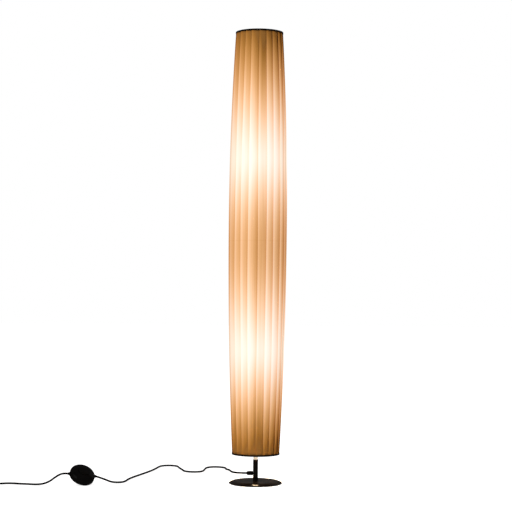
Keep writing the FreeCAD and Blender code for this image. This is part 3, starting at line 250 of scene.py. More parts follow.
def finish(slot_name, name, colour, worn, roughness, grain_scale, grain_depth, blotch_scale,
           stretch=(1.0, 1.0, 1.0), metallic=0.0, specular=0.5, coat=0.0, coat_roughness=0.1):
    """A slot's hard surface: blotches move its colour and gloss a little, fine grain lifts it."""
    material, tree, shader = blank_material(name)
    blotch = object_noise(tree, blotch_scale, stretch, detail=4.0)
    fine = object_noise(tree, grain_scale, stretch, detail=2.0)
    bump = add_node(tree, "ShaderNodeBump", {"Height": fine, "Strength": 0.35,
                                             "Distance": grain_depth})
    set_inputs(tree, shader, {
        "Base Color": two_colours(tree, between(tree, blotch, 0.0, 1.0), colour, worn),
        "Roughness": between(tree, blotch, *roughness), "Normal": bump.outputs[0],
        "Metallic": metallic, "Specular IOR Level": specular, "Coat Weight": coat,
        "Coat Roughness": coat_roughness,
    })
    FINISHES[slot_name] = material


def wear(piece, material):
    """Put one finish on a piece, in every slot it has."""
    slots = piece.data.materials
    if not slots:
        slots.append(material)
    for index in range(len(slots)):
        slots[index] = material


def made_piece(name, grids, node, slot_name, body="lamp", **making):
    """A piece through grids in millimetres, dressed and tied to the node it stands for."""
    piece = piece_from_grid(name, *[grid * MM for grid in grids], **making)
    wear(piece, FINISHES[slot_name])
    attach(piece, body)
    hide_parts(node)
    return piece


def turned_piece(name, outline, node, slot_name, lie=Matrix(), turns=96, **making):
    """A piece spun from an outline in millimetres about its own axis, which a matrix places."""
    grid = placed(spun(np.array(outline), turns), lie)
    return made_piece(name, [grid], node, slot_name, **making)


# %% [markdown]
# ## Room: floor, backdrop and light
#
# The lamp stands on a plain pale floor before white. The world is white only to the camera, to
# glossy and to clear surfaces, and lights the lamp at a plain level. The floor does the same, so
# that it joins the white behind it and still keeps the lamp's soft shadow. A small warm lamp in
# the shade's open bottom stands for the bulbs' light that falls out on the foot.

# %% World and floor
WORLD_LEVEL = 0.42
KEY_POWER = 70.0
FILL_POWER = 34.0
SPILL_POWER = 1.1
FLOOR_LIFT = 0.70
FLOOR = -0.0002


def seen_directly(tree):
    """One for the camera, glossy and clear rays, zero for the light that falls on things."""
    path = add_node(tree, "ShaderNodeLightPath")
    shiny = sums(tree, "MAXIMUM", path.outputs["Is Glossy Ray"],
                 path.outputs["Is Transmission Ray"])
    return sums(tree, "MAXIMUM", path.outputs["Is Camera Ray"], shiny)


def make_world():
    """A white surround whose light on the lamp is plain."""
    world = bpy.data.worlds.new("studio")
    bpy.context.scene.world = world
    world.use_nodes = True
    tree = world.node_tree
    background = tree.nodes["Background"]
    level = add_node(tree, "ShaderNodeMapRange", {"Value": seen_directly(tree),
                                                  "To Min": WORLD_LEVEL, "To Max": 1.0})
    set_inputs(tree, background, {"Color": (1.0, 1.0, 1.0, 1.0),
                                  "Strength": level.outputs["Result"]})


def make_floor():
    """A wide pale floor; what the camera sees of it is lifted towards white, shadow and all."""
    grid = np.array([[(x, y, FLOOR) for x in (-9, 9)] for y in (-9, 15)])
    floor = piece_from_grid("floor", grid, outward=False)
    material, tree, shader = blank_material("floor_white")
    dust = object_noise(tree, 3.0, detail=5.0)
    set_inputs(tree, shader, {
        "Base Color": two_colours(tree, dust, (0.80, 0.80, 0.80), (0.83, 0.83, 0.83)),
        "Emission Strength": sums(tree, "MULTIPLY", seen_directly(tree), FLOOR_LIFT),
        "Emission Color": (1.0, 1.0, 1.0, 1.0), "Roughness": 0.9, "Specular IOR Level": 0.0,
    })
    wear(floor, material)


def soft_lamp(name, place, target, size, power, colour=(1.0, 1.0, 1.0)):
    """A square lamp that faces a point."""
    data = bpy.data.lights.new(name, "AREA")
    data.shape = "SQUARE"
    data.size = size
    data.energy = power
    data.color = colour
    lamp = bpy.data.objects.new(name, data)
    bpy.context.scene.collection.objects.link(lamp)
    aim = np.array(target) - np.array(place)
    turn = math.atan2(aim[1], aim[0]) - math.pi / 2
    dip = math.atan2(aim[2], math.hypot(aim[0], aim[1]))
    lamp.matrix_world = (Matrix.Translation(place) @ Matrix.Rotation(turn, 4, "Z")
                         @ Matrix.Rotation(math.pi / 2 + dip, 4, "X"))


make_world()
make_floor()
soft_lamp("key", (-2.2, -2.8, 2.4), (0, 0, 0.6), 2.4, KEY_POWER)
soft_lamp("fill", (2.6, 1.6, 2.2), (0, 0, 0.5), 2.4, FILL_POWER)
soft_lamp("spill", (0, 0, 0.1), (0, 0, 0), 0.02, SPILL_POWER, colour=(1.0, 0.72, 0.42))
bpy.context.scene.view_settings.view_transform = "Standard"
print("room: white surround, plain light level", WORLD_LEVEL)

# %% [markdown]
# ## Mains cord
#
# The cord is 5 mm round cable with a satin black jacket. It comes out of the gland in the pole's
# foot, drops to the floor behind the lamp, waves forward and back, and ends in the foot switch.
# From there a shorter piece runs on to a put-away coil and the plug. A cord can be simulated as a
# chain, but a smooth curve through listed points follows the picture better. Its line is
# a NURBS curve, which stays inside its control points and never kinks.

# %% Cord finish
CORD_RADIUS = 2.5 * MM
finish("cord_plastic", "cord_plastic", (0.0020, 0.0018, 0.0017), (0.0045, 0.0040, 0.0036),
       (0.4, 0.52), 2600.0, 0.00006, blotch_scale=90.0, specular=0.0, coat=0.012)


# %% Cord routes
LAMP_TO_SWITCH = [
    (-23.65, 0, 28), (-41, 0, 28), (-59, 11.7, 28), (-65.6, 34.7, 27.5), (-69, 74, 25),
    (-73, 128, 20), (-79, 186, 13.5), (-83, 240, 7.5), (-84, 281, 4), (-88, 313, 2.6),
    (-114, 328, 2.6), (-139, 314, 2.6), (-144, 271, 2.6), (-147, 220, 2.6), (-173, 205, 2.6),
    (-199, 219, 2.6), (-207.5, 260, 2.6), (-219, 300, 2.6), (-224, 336, 2.6), (-249, 351, 2.6),
    (-274, 336, 2.6), (-281, 288, 2.6), (-290, 236, 2.6), (-304, 184, 2.6), (-318, 135, 2.6),
    (-333, 86, 2.6), (-342, 42, 2.6), (-344, 10, 2.6), (-354, -18, 2.6), (-379, -27, 4.2),
    (-396.5, -27.6, 12), (-418.2, -37.3, 20.3),
]
SWITCH_TO_COIL = [
    (-487.9, -68.4, 31.0), (-497, -72.4, 32.4), (-509, -76.8, 29.7), (-521.5, -79, 21.7),
    (-534, -79, 11.9), (-550.6, -76.7, 5.1), (-569.2, -72, 2.6), (-592, -65.5, 2.6),
    (-616, -60, 2.6), (-641, -51, 2.6), (-665, -60, 2.6), (-690, -80.5, 2.6),
    (-717.0, -79.74, 2.6),
]
COIL_TO_PLUG = [(-727.0, -76.95, 8.1), (-743, -77.45, 8.1), (-761, -80.95, 6.95),
                (-779, -82.95, 6.95)]
COIL_MIDDLE = (-722.0, -48.0)
COIL_RADIUS = 31.6
COIL_TURN_STEP = 5.6
COIL_LAYER_STEP = 5.5
COIL_HALF_TURNS = 6
COIL_CLIMB = 3


def coil_points():
    """The put-away coil: it winds inwards, climbs a layer in one half turn and winds out again.

    A point at a count of half turns c stands at an angle of pi c, at a radius that shrinks by
    half a turn's step for each c up to the climb and grows back after it.
    """
    count = np.linspace(0.0, COIL_HALF_TURNS, COIL_HALF_TURNS * 8 + 1)
    inwards = np.minimum(count, 2 * COIL_CLIMB + 1 - count)
    radius = COIL_RADIUS - COIL_TURN_STEP / 2 * inwards
    climb = (1 - np.cos(math.pi * np.clip(count - COIL_CLIMB, 0.0, 1.0))) / 2
    return np.stack([COIL_MIDDLE[0] - radius * np.sin(math.pi * count),
                     COIL_MIDDLE[1] - radius * np.cos(math.pi * count),
                     2.6 + COIL_LAYER_STEP * climb], axis=-1)


def cord_piece(name, route):
    """One cord as a smooth open NURBS curve through route points in millimetres."""
    curve = bpy.data.curves.new(name, "CURVE")
    curve.dimensions = "3D"
    curve.resolution_u = 6
    curve.bevel_depth = CORD_RADIUS
    curve.bevel_resolution = 5
    curve.use_fill_caps = True
    spline = curve.splines.new("NURBS")
    spline.points.add(len(route) - 1)
    places = np.hstack([np.array(route) * MM, np.ones((len(route), 1))])
    spline.points.foreach_set("co", places.ravel())
    spline.order_u = 3
    spline.use_endpoint_u = True
    piece = bpy.data.objects.new(name, curve)
    bpy.context.scene.collection.objects.link(piece)
    wear(piece, FINISHES["cord_plastic"])
    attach(piece, "lamp")
    return piece


lamp_cord = cord_piece("lamp_cord", LAMP_TO_SWITCH)
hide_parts("cord_to_switch")
plug_cord = cord_piece("plug_cord", SWITCH_TO_COIL + coil_points().tolist() + COIL_TO_PLUG)
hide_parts("cord_to_coil", "cord_coil", "cord_tail")
print("cords:", len(LAMP_TO_SWITCH), "points to the switch, coil of",
      COIL_HALF_TURNS // 2, "turns before the plug")

# %% [markdown]
# ## Shade
#
# The shade is one length of tan cloth laid in 21 knife pleats: each face runs on under the edge
# of the next pleat, turns back, and comes up again as the next ridge. The same width of cloth goes
# round the wide belly and the narrow ends, so the pleats overlap more towards the ends. It could
# be folded with a cloth simulation, but pressed pleats keep their shape, so a formula gives them
# exactly. The ridges are a little uneven, as hand-set pleats are.

# %% Shade outline and pleats
SHADE_BOTTOM = 78.0
SHADE_TOP = 1200.0
BELLY_HEIGHT = 694.0
BELLY_RADIUS = 77.4
END_RADIUS = 62.6
BINDING = 1.0
PLEATS = 21
PLEAT_DEPTH = 3.0
CLOTH_THICKNESS = 0.45
BELLY_OVERLAP = 0.8
FACE_POINTS = 9
FOLD_POINTS = 4
SHADE_LEVELS = 99
FRONT_SLIPS = (0.0, -0.1, -2.3, -1.4, -2.6)
LEFT_SLIPS = (-2.4, 0.4, -0.7, -1.9)


def side_radius(height):
    """The shade's outer radius in mm: one arc from the belly up and one down to the ends."""
    rise = height - BELLY_HEIGHT
    reach = np.where(rise > 0, SHADE_TOP - BELLY_HEIGHT, BELLY_HEIGHT - SHADE_BOTTOM)
    draw = BELLY_RADIUS - END_RADIUS
    arc = (reach ** 2 + draw ** 2) / (2 * draw)
    return BELLY_RADIUS - (arc - np.sqrt(arc ** 2 - rise ** 2))


def pleat_overlap(pitch, cloth):
    """How far a face runs on under the next ridge, so that face and underfold use the cloth.

    The two straight lengths add up to the cloth: sqrt((pitch + o)^2 + depth^2) for the face and
    sqrt(o^2 + depth^2) for the fold; a few steps of halving find the overlap o.
    """
    low = np.zeros_like(pitch)
    high = np.full_like(pitch, cloth / 2)
    for _ in range(30):
        overlap = (low + high) / 2
        used = np.hypot(pitch + overlap, PLEAT_DEPTH) + np.hypot(overlap, PLEAT_DEPTH)
        low = np.where(used < cloth, overlap, low)
        high = np.where(used < cloth, high, overlap)
    return overlap


def ridge_angles(share_up):
    """Angle of each ridge at each level: an even grid, small slips, and a slow sway upwards."""
    rng = np.random.default_rng(21)
    slips = rng.uniform(-2.2, 0.8, PLEATS)
    slips[:len(FRONT_SLIPS)] = FRONT_SLIPS
    slips[-len(LEFT_SLIPS):] = LEFT_SLIPS
    phase = rng.uniform(0.0, 2 * math.pi, PLEATS)
    sway = 0.45 * np.sin(2.6 * math.pi * share_up[:, None] + phase)
    even = -90.0 + 360.0 / PLEATS * np.arange(PLEATS)
    return np.radians(even + slips + sway)


def shade_grid():
    """The pleated sheet as a grid of points, with a UV grid (pleat count, share of the height)."""
    height = np.linspace(SHADE_BOTTOM + BINDING, SHADE_TOP - BINDING, SHADE_LEVELS)
    share_up = np.linspace(0.0, 1.0, SHADE_LEVELS)
    radius = side_radius(height)
    cloth = (math.hypot(2 * math.pi / PLEATS * BELLY_RADIUS + BELLY_OVERLAP, PLEAT_DEPTH)
             + math.hypot(BELLY_OVERLAP, PLEAT_DEPTH))
    start = ridge_angles(share_up)
    stop = np.hstack([start[:, 1:], start[:, :1] + 2 * math.pi])
    pitch = (stop - start) * radius[:, None]
    under = pleat_overlap(pitch, cloth) / radius[:, None]

    along_face = np.linspace(0.0, 1.0, FACE_POINTS)[:-1]
    along_fold = np.linspace(0.0, 1.0, FOLD_POINTS)[:-1]
    reach = (stop - start + under)[..., None]
    face_angle = start[..., None] + reach * along_face
    face_drop = np.broadcast_to(along_face ** 1.25, face_angle.shape)
    fold_angle = stop[..., None] + under[..., None] * (1 - along_fold)
    fold_drop = np.broadcast_to(1 - along_fold ** 1.5, fold_angle.shape)
    angle = np.concatenate([face_angle, fold_angle], axis=-1).reshape(SHADE_LEVELS, -1)
    drop = np.concatenate([face_drop, fold_drop], axis=-1).reshape(SHADE_LEVELS, -1)
    angle = np.hstack([angle, angle[:, :1] + 2 * math.pi])
    drop = np.hstack([drop, drop[:, :1]])

    reach_out = radius[:, None] - PLEAT_DEPTH * drop
    points = np.stack([reach_out * np.cos(angle), reach_out * np.sin(angle),
                       np.broadcast_to(height[:, None], angle.shape)], axis=-1) * MM
    face_share = 1.0 - PLEAT_DEPTH / cloth
    count = np.concatenate([along_face * face_share, face_share + along_fold * (1 - face_share)])
    across = np.append((np.arange(PLEATS)[:, None] + count).ravel(), PLEATS)
    uv = np.stack(np.broadcast_arrays(across[None, :], share_up[:, None]), axis=-1)
    return points, uv, cloth * PLEATS * MM


shade_points, shade_uv, cloth_width = shade_grid()
shade_fabric = piece_from_grid("shade_fabric", shade_points, uv=shade_uv, sharp_angle=50.0)
wall = shade_fabric.modifiers.new("cloth", "SOLIDIFY")
wall.thickness = CLOTH_THICKNESS * MM
wall.offset = -1.0
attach(shade_fabric, "lamp")
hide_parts("shade_cover")
print("shade cloth:", round(cloth_width, 3), "m wide in", PLEATS, "pleats")

# %% [markdown]
# ## Light in the cloth
#
# With the bulbs on, the cloth glows from white hot spots beside each bulb to dark tan at the ends.
# Real bulbs behind a translucent skin would do this too, but slowly and with grain, so the cloth
# gives out light by a rule. Each bulb's light falls off along the shade, faster below it, where
# the holder stands in the way, and the open ends lose a little more. Then the colour follows how
# warm light washes out as it gets stronger: each channel rises as c (1 - exp(-k E / c)), with E
# raised to a power first for blue. The numbers were tuned against the picture. A thin
# tinted coat with almost no gloss dims what is seen aslant, so the barrel's sides look round.
# The pole's shadow, the middle ring's shadow and a dark band near each end are painted into this
# light as well.

# %% Cloth light and weave
BULB_HEIGHTS = (355.0, 859.0)
LIGHT_PEAK = 2.85
LIGHT_REACH_UP = 0.125
LIGHT_REACH_DOWN = 0.092
LIGHT_SOFTNESS = 0.022
END_LOSS = 0.55
END_LOSS_REACH = 0.065
# Painted shadow of the pole: a narrow dark band on the front near each end, right of the middle.
END_SHADOW_BANDS = ((0.011, 0.56), (0.006, 0.38))
END_SHADOW_WIDTH = 0.0055
END_SHADOW_REACH = 0.14
POLE_SHADOW_PLACE = 0.004
POLE_SHADOW_WIDTH = 0.010
POLE_SHADOW_DEPTH = 0.30
RING_SHADOW_WIDTH = 0.0016
RING_SHADOW_DEPTH = 0.05
TAN = (0.235, 0.112, 0.028)
GAINS = (2.1, 0.88, 0.45)
POWERS = (1.0, 1.0, 1.52)
CEILINGS = (1.15, 1.10, 0.96)
SEEN_THROUGH = (0.86, 0.80, 0.73)
MIDDLE_RING = 643.0
THREAD_PITCH = 0.0006


def falloff(tree, distance, reach):
    """exp(-distance / reach) on a socket."""
    return sums(tree, "POWER", math.e, sums(tree, "MULTIPLY", distance, -1.0 / reach))


def bulb_light(tree, height, bulb_height):
    """Light of one bulb at a height: it falls off by its own reach upwards and downwards."""
    rise = sums(tree, "SUBTRACT", height, bulb_height * MM)
    softened_rise = sums(tree, "SQRT", sums(tree, "MULTIPLY_ADD", rise, rise, LIGHT_SOFTNESS ** 2))
    distance = sums(tree, "SUBTRACT", softened_rise, LIGHT_SOFTNESS)
    above = sums(tree, "GREATER_THAN", rise, 0.0)
    up = falloff(tree, distance, LIGHT_REACH_UP)
    down = falloff(tree, distance, LIGHT_REACH_DOWN)
    made = add_node(tree, "ShaderNodeMix", {"Factor": above, "A": down, "B": up})
    return made.outputs["Result"]


def bump_at(tree, value, middle, width):
    """A soft bump of height one around a value: exp(-((v - middle) / width)^2)."""
    away = sums(tree, "DIVIDE", sums(tree, "SUBTRACT", value, middle), width)
    square = sums(tree, "MULTIPLY", away, away)
    return sums(tree, "POWER", math.e, sums(tree, "MULTIPLY", square, -1.0))


def dimmed(tree, light, shadow, amount):
    """Light times (1 - amount * shadow): what is left under a shadow of that depth."""
    left = sums(tree, "SUBTRACT", 1.0, sums(tree, "MULTIPLY", shadow, amount))
    return sums(tree, "MULTIPLY", light, left)


def pleat_ramp(tree, phase):
    """How bright the cloth is across one pleat: bright at the ridge, darkest under the next."""
    ramp = add_node(tree, "ShaderNodeValToRGB", {"Fac": phase})
    stops = ramp.color_ramp.elements
    for place, level in ((0.0, 1.0), (0.06, 0.86), (0.30, 0.62), (0.62, 0.47), (0.84, 0.40),
                         (0.90, 0.40)):
        stop = stops.new(place)
        stop.color = (level, level, level, 1.0)
    stops.remove(stops[0])
    stops.remove(stops[-1])
    return sums(tree, "MULTIPLY", ramp.outputs["Color"], 1.75)


def make_shade_cloth():
    """Tan cloth with a fine weave, lit from within by the rule above."""
    material, tree, shader = blank_material("shade_cloth")
    place = add_node(tree, "ShaderNodeTexCoord").outputs["Object"]
    axes = add_node(tree, "ShaderNodeSeparateXYZ", {0: place})
    height = axes.outputs["Z"]
    cloth = add_node(tree, "ShaderNodeUVMap", uv_map="cloth").outputs["UV"]
    lay = add_node(tree, "ShaderNodeSeparateXYZ", {0: cloth})
    phase = sums(tree, "FRACT", lay.outputs["X"])

    light = sums(tree, "ADD", bulb_light(tree, height, BULB_HEIGHTS[0]),
                 bulb_light(tree, height, BULB_HEIGHTS[1]))
    light = sums(tree, "MULTIPLY", light, LIGHT_PEAK)
    to_top = sums(tree, "SUBTRACT", SHADE_TOP * MM, height)
    to_bottom = sums(tree, "SUBTRACT", height, SHADE_BOTTOM * MM)
    front = sums(tree, "LESS_THAN", axes.outputs["Y"], 0.0)
    for distance, (middle, depth) in zip((to_top, to_bottom), END_SHADOW_BANDS):
        loss = falloff(tree, distance, END_LOSS_REACH)
        light = dimmed(tree, light, loss, END_LOSS)
        # A painted shadow band of the pole dims the front of the glow, strongest at this end.
        end_shadow = bump_at(tree, axes.outputs["X"], middle, END_SHADOW_WIDTH)
        end_shadow = sums(tree, "MULTIPLY", end_shadow, front)
        end_shadow = sums(tree, "MULTIPLY", end_shadow, falloff(tree, distance, END_SHADOW_REACH))
        light = dimmed(tree, light, end_shadow, depth)
    pleat_light = pleat_ramp(tree, phase)
    light = sums(tree, "MULTIPLY", light, pleat_light)

    strip = bump_at(tree, axes.outputs["X"], POLE_SHADOW_PLACE, POLE_SHADOW_WIDTH)
    pole_shadow = sums(tree, "MULTIPLY", strip, front)
    light = dimmed(tree, light, pole_shadow, POLE_SHADOW_DEPTH)
    ring_shadow = bump_at(tree, height, MIDDLE_RING * MM, RING_SHADOW_WIDTH)
    light = dimmed(tree, light, ring_shadow, RING_SHADOW_DEPTH)

    streaks = add_node(tree, "ShaderNodeMapping", {"Vector": cloth, "Scale": (21.0, 4.0, 1.0)})
    streak = add_node(tree, "ShaderNodeTexNoise", {"Vector": streaks.outputs[0], "Scale": 1.0,
                                                   "Detail": 4.0, "Roughness": 0.6})
    light = sums(tree, "MULTIPLY", light, between(tree, streak.outputs["Fac"], 0.86, 1.14))

    channels = []
    for gain, power, ceiling, own, seen in zip(GAINS, POWERS, CEILINGS, TAN, SEEN_THROUGH):
        spent = falloff(tree, sums(tree, "POWER", light, power), ceiling / gain)
        level = sums(tree, "MULTIPLY_ADD", spent, -ceiling / seen, (ceiling - own) / seen)
        channels.append(sums(tree, "MAXIMUM", level, 0.0))
    glow = add_node(tree, "ShaderNodeCombineColor", dict(enumerate(channels)))
    thread = between(tree, streak.outputs["Fac"], 0.0, 1.0)
    base = two_colours(tree, thread, tuple(1.6 * value for value in TAN),
                       tuple(1.9 * value for value in TAN))

    yards = add_node(tree, "ShaderNodeVectorMath",
                     {0: cloth, 1: (cloth_width / PLEATS, SHADE_TOP * MM, 1.0)},
                     operation="MULTIPLY")
    weave = []
    for direction in ("X", "Y"):
        wave = add_node(tree, "ShaderNodeTexWave",
                        {"Vector": yards.outputs[0], "Scale": 0.31 / THREAD_PITCH,
                         "Distortion": 0.6, "Detail": 1.0}, bands_direction=direction)
        weave.append(wave.outputs["Fac"])
    height_map = sums(tree, "MAXIMUM", weave[0], weave[1])
    bump = add_node(tree, "ShaderNodeBump", {"Height": height_map, "Strength": 0.25,
                                             "Distance": 0.0001})
    set_inputs(tree, shader, {
        "Base Color": base, "Normal": bump.outputs[0], "Emission Color": glow.outputs[0],
        "Emission Strength": 1.0, "Roughness": 0.85, "Specular IOR Level": 0.0,
        "Coat Weight": 1.0, "Coat Tint": (*SEEN_THROUGH, 1.0), "Coat IOR": 1.03,
        "Coat Roughness": 1.0,
    })
    return material


FINISHES["shade_fabric"] = make_shade_cloth()
wear(shade_fabric, FINISHES["shade_fabric"])
print("cloth: light falls off over", LIGHT_REACH_UP, "m above a bulb and",
      LIGHT_REACH_DOWN, "m below")

# %% [markdown]
# ## Edge bindings
#
# Each end of the cloth is bound with a thin black tape that folds over the edge: a flat ring
# across the pleats and a low lip up the outside. Spinning a small rounded outline round the
# lamp's axis gives it.

# %% Bindings
LIP_HEIGHT = 4.4
LIP_WALL = 0.5
LIP_GAP = 0.3
LINING_DEPTH = 4.0

finish("shade_edging", "tape_black", (0.006, 0.005, 0.004), (0.012, 0.010, 0.008), (0.75, 0.9),
       3200.0, 0.00012, blotch_scale=60.0, specular=0.0)


def edge_binding(name, end, direction, node):
    """A bound edge: flat ring, outer lip and rounded folds, as an outline spun round the pole."""
    inner = END_RADIUS - LINING_DEPTH
    outer = END_RADIUS + LIP_GAP + LIP_WALL
    outline = softened([
        (inner, end), (outer, end), (outer, end + LIP_HEIGHT * direction),
        (outer - LIP_WALL, end + LIP_HEIGHT * direction),
        (outer - LIP_WALL, end + BINDING * direction), (inner, end + BINDING * direction),
    ], (0.3, 0.4, 0.2, 0.2, 0.15, 0.3), steps=4)
    return made_piece(name, [spun(outline, 168)], node, "shade_edging")


bottom_tape = edge_binding("bottom_tape", SHADE_BOTTOM, 1, "bottom_binding")
top_tape = edge_binding("top_tape", SHADE_TOP, -1, "top_binding")
print("bindings:", bottom_tape.name, "and", top_tape.name)

# %% [markdown]
# ## Base and pole
#
# The base is a heavy disc under gloss black paint, with a rounded rim that slopes up to a flat
# top. The pole's black sleeve stands on it, with a bright collar at its top and the cord gland at
# its side. They are turned parts, so each is an outline spun round its axis. The picture's room
# was dark, so the paint has a thin clear coat and hardly any gloss of its own: seen almost along
# its surface it would otherwise mirror the white surround.

# %% Black paint and bright metal
finish("black_metal", "black_paint", (0.0026, 0.0020, 0.0016), (0.0055, 0.0040, 0.0030),
       (0.34, 0.5), 900.0, 0.00003, blotch_scale=26.0, specular=0.0, coat=0.045,
       coat_roughness=0.11)
finish("bright_metal", "bright_nickel", (0.62, 0.53, 0.41), (0.52, 0.44, 0.34), (0.22, 0.36),
       700.0, 0.00002, blotch_scale=120.0, stretch=(1.0, 1.0, 9.0), metallic=1.0)

# %% Turned parts of the foot
BASE_RADIUS = 70.5
BASE_LOW = 1.5
BASE_TOP = 8.0
RECESS_RADIUS = 18.0
RECESS_TOP = 5.0
POLE_FIT = 5.3

turned_piece("base_plate", softened([
    (POLE_FIT, RECESS_TOP), (RECESS_RADIUS, RECESS_TOP), (RECESS_RADIUS, BASE_LOW),
    (BASE_RADIUS, BASE_LOW), (BASE_RADIUS, BASE_LOW + 2.5), (BASE_RADIUS - 10, BASE_TOP),
    (POLE_FIT, BASE_TOP),
], (0.3, 0.3, 0.5, 0.9, 1.5, 3.0, 0.3), steps=7), "base_disc", "black_metal",
    turns=160)
turned_piece("pole_jacket", softened([
    (POLE_FIT, BASE_TOP), (6.65, BASE_TOP), (6.65, 64.0), (POLE_FIT, 64.0),
], (0.2, 0.3, 0.5, 0.2), steps=4), "pole_sleeve", "black_metal")
turned_piece("bright_collar", softened([
    (POLE_FIT, 64.0), (5.9, 64.0), (5.9, 78.8), (POLE_FIT, 78.8),
], (0.1, 0.3, 0.25, 0.1), steps=4), "sleeve_collar", "bright_metal")
print("foot: base", 2 * BASE_RADIUS, "mm across")

# %% [markdown]
# ## Finishes of the inner parts
#
# Inside the shade are zinc-plated wires, plated steel brackets and nuts, off-white lampholders,
# brass contacts and opal bulbs. They show through the open ends and when a bulb is lifted out.
# Each node gets the finish of its real material here. Most keep the construction's own shape, and
# the switch, plug, bulbs and lampholder skirts get new surfaces in the cells after this.

# %% Finishes
finish("frame_wire", "zinc_wire", (0.50, 0.50, 0.49), (0.38, 0.38, 0.38), (0.32, 0.5), 1500.0,
       0.00003, blotch_scale=70.0, metallic=1.0)
finish("screw_steel", "plated_steel", (0.58, 0.57, 0.54), (0.46, 0.45, 0.43), (0.24, 0.42), 1800.0,
       0.00002, blotch_scale=160.0, metallic=1.0)
finish("holder_plastic", "holder_plastic", (0.72, 0.69, 0.61), (0.64, 0.58, 0.47), (0.42, 0.55),
       1600.0, 0.00004, blotch_scale=30.0, specular=0.4)
finish("contact_brass", "contact_brass", (0.66, 0.44, 0.16), (0.45, 0.29, 0.11), (0.22, 0.4),
       1400.0, 0.00002, blotch_scale=140.0, metallic=1.0)
finish("bulb_metal", "cap_aluminium", (0.72, 0.72, 0.72), (0.60, 0.60, 0.60), (0.25, 0.38), 1500.0,
       0.00002, blotch_scale=110.0, metallic=1.0)
finish("lead_plastic", "lead_plastic", (0.16, 0.07, 0.03), (0.20, 0.10, 0.05), (0.4, 0.5), 1200.0,
       0.00003, blotch_scale=80.0, specular=0.4)
finish("switch_plastic", "switch_plastic", (0.0018, 0.0016, 0.0015), (0.0036, 0.0031, 0.0027),
       (0.24, 0.36), 1900.0, 0.00002, blotch_scale=55.0, specular=0.0, coat=0.03,
       coat_roughness=0.12)
finish("foot_rubber", "foot_rubber", (0.020, 0.020, 0.020), (0.032, 0.031, 0.030), (0.8, 0.95),
       1500.0, 0.00015, blotch_scale=60.0, specular=0.2)


def make_opal_glass():
    """Opal bulb glass: white and faintly warm, lit from inside and a little darker at its neck."""
    material, tree, shader = blank_material("opal_glass")
    place = add_node(tree, "ShaderNodeTexCoord").outputs["Object"]
    height = add_node(tree, "ShaderNodeSeparateXYZ", {0: place}).outputs["Z"]
    mist = object_noise(tree, 60.0, detail=3.0)
    level = between(tree, mist, 0.94, 1.06)
    for middle in BULB_HEIGHTS:
        neck = bump_at(tree, height, (middle - 30.0) * MM, 0.012)
        level = dimmed(tree, level, neck, 0.45)
    warm = add_node(tree, "ShaderNodeVectorMath", {0: (1.0, 0.86, 0.62), 1: level},
                    operation="MULTIPLY")
    set_inputs(tree, shader, {"Emission Color": warm.outputs[0], "Emission Strength": 1.6,
                              "Base Color": (0.86, 0.83, 0.77, 1.0), "Roughness": 0.3})
    return material


FINISHES["opal_glass"] = make_opal_glass()
for part in frame["record"]["subparts"]:
    wear(nodes[part["node"]], FINISHES[part["material_slot"]])

# %% [markdown]
# ## Gland, foot switch and bushings
#
# The cord leaves the pole through a short moulded gland with grip rings. The foot switch is a
# round cup under a domed cover, with a large push button in the crown. It was pushed over by its
# stiff cord, so it lies turned, dipped and rolled, and each of its pieces is spun about one shared
# axis and then laid down by one matrix. The rings, and the groove in the button's domed face, are
# part of the outlines. A bump could fake them, but the outline keeps them in the mesh.

# %% Gland and switch
SWITCH_PLACE = (-455.0, -50.0, 21.35)
SWITCH_TURNS = ((24, "Z"), (8, "Y"), (38, "X"))
SWITCH_RADIUS = 33.5
SWITCH_HEIGHT = 22.6
SWITCH_SIDE = 8.0
SWITCH_SEAM = 5.5
SWITCH_WALL = 2.0
BUTTON_RADIUS = 15.0
BUTTON_TOP = 23.8
BUTTON_UNDER = 17.2

gland_lie = Matrix.Translation((0, 0, 28.0)) @ Matrix.Rotation(-math.pi / 2, 4, "Y")
switch_lie = Matrix.Translation(SWITCH_PLACE)
for degrees, axis in SWITCH_TURNS:
    switch_lie = switch_lie @ Matrix.Rotation(math.radians(degrees), 4, axis)


def ringed(start, end, rings, depth, steps=12):
    """An outline edge between two (radius, height) points with grooves cut into it.

    The radius runs straight from start to end and dips by depth times (1 - cos(2 pi rings s)) / 2.
    """
    share = np.linspace(0.0, 1.0, rings * steps + 1)
    line = np.outer(1 - share, start) + np.outer(share, end)
    line[:, 0] -= depth * (1 - np.cos(2 * math.pi * rings * share)) / 2
    return line


turned_piece("ribbed_gland", np.vstack([
    [(1.6, 4.2), (3.2, 4.2), (3.2, 6.95), (5.4, 6.95)],
    ringed((5.8, 7.4), (5.8, 18.6), 4, 0.5),
    [(5.5, 19.6), (3.9, 23.2), (3.4, 23.65), (1.6, 23.65)],
]), "cord_gland", "switch_plastic", lie=gland_lie)


def crown(radius_in, inset, steps):
    """The cover's dome from its side to a radius: half an ellipse over the switch's side."""
    reach = SWITCH_RADIUS - inset
    rise = SWITCH_HEIGHT - SWITCH_SIDE - inset
    angle = np.linspace(0.0, math.acos(radius_in / reach), steps)
    return np.stack([reach * np.cos(angle), SWITCH_SIDE + rise * np.sin(angle)], axis=-1)


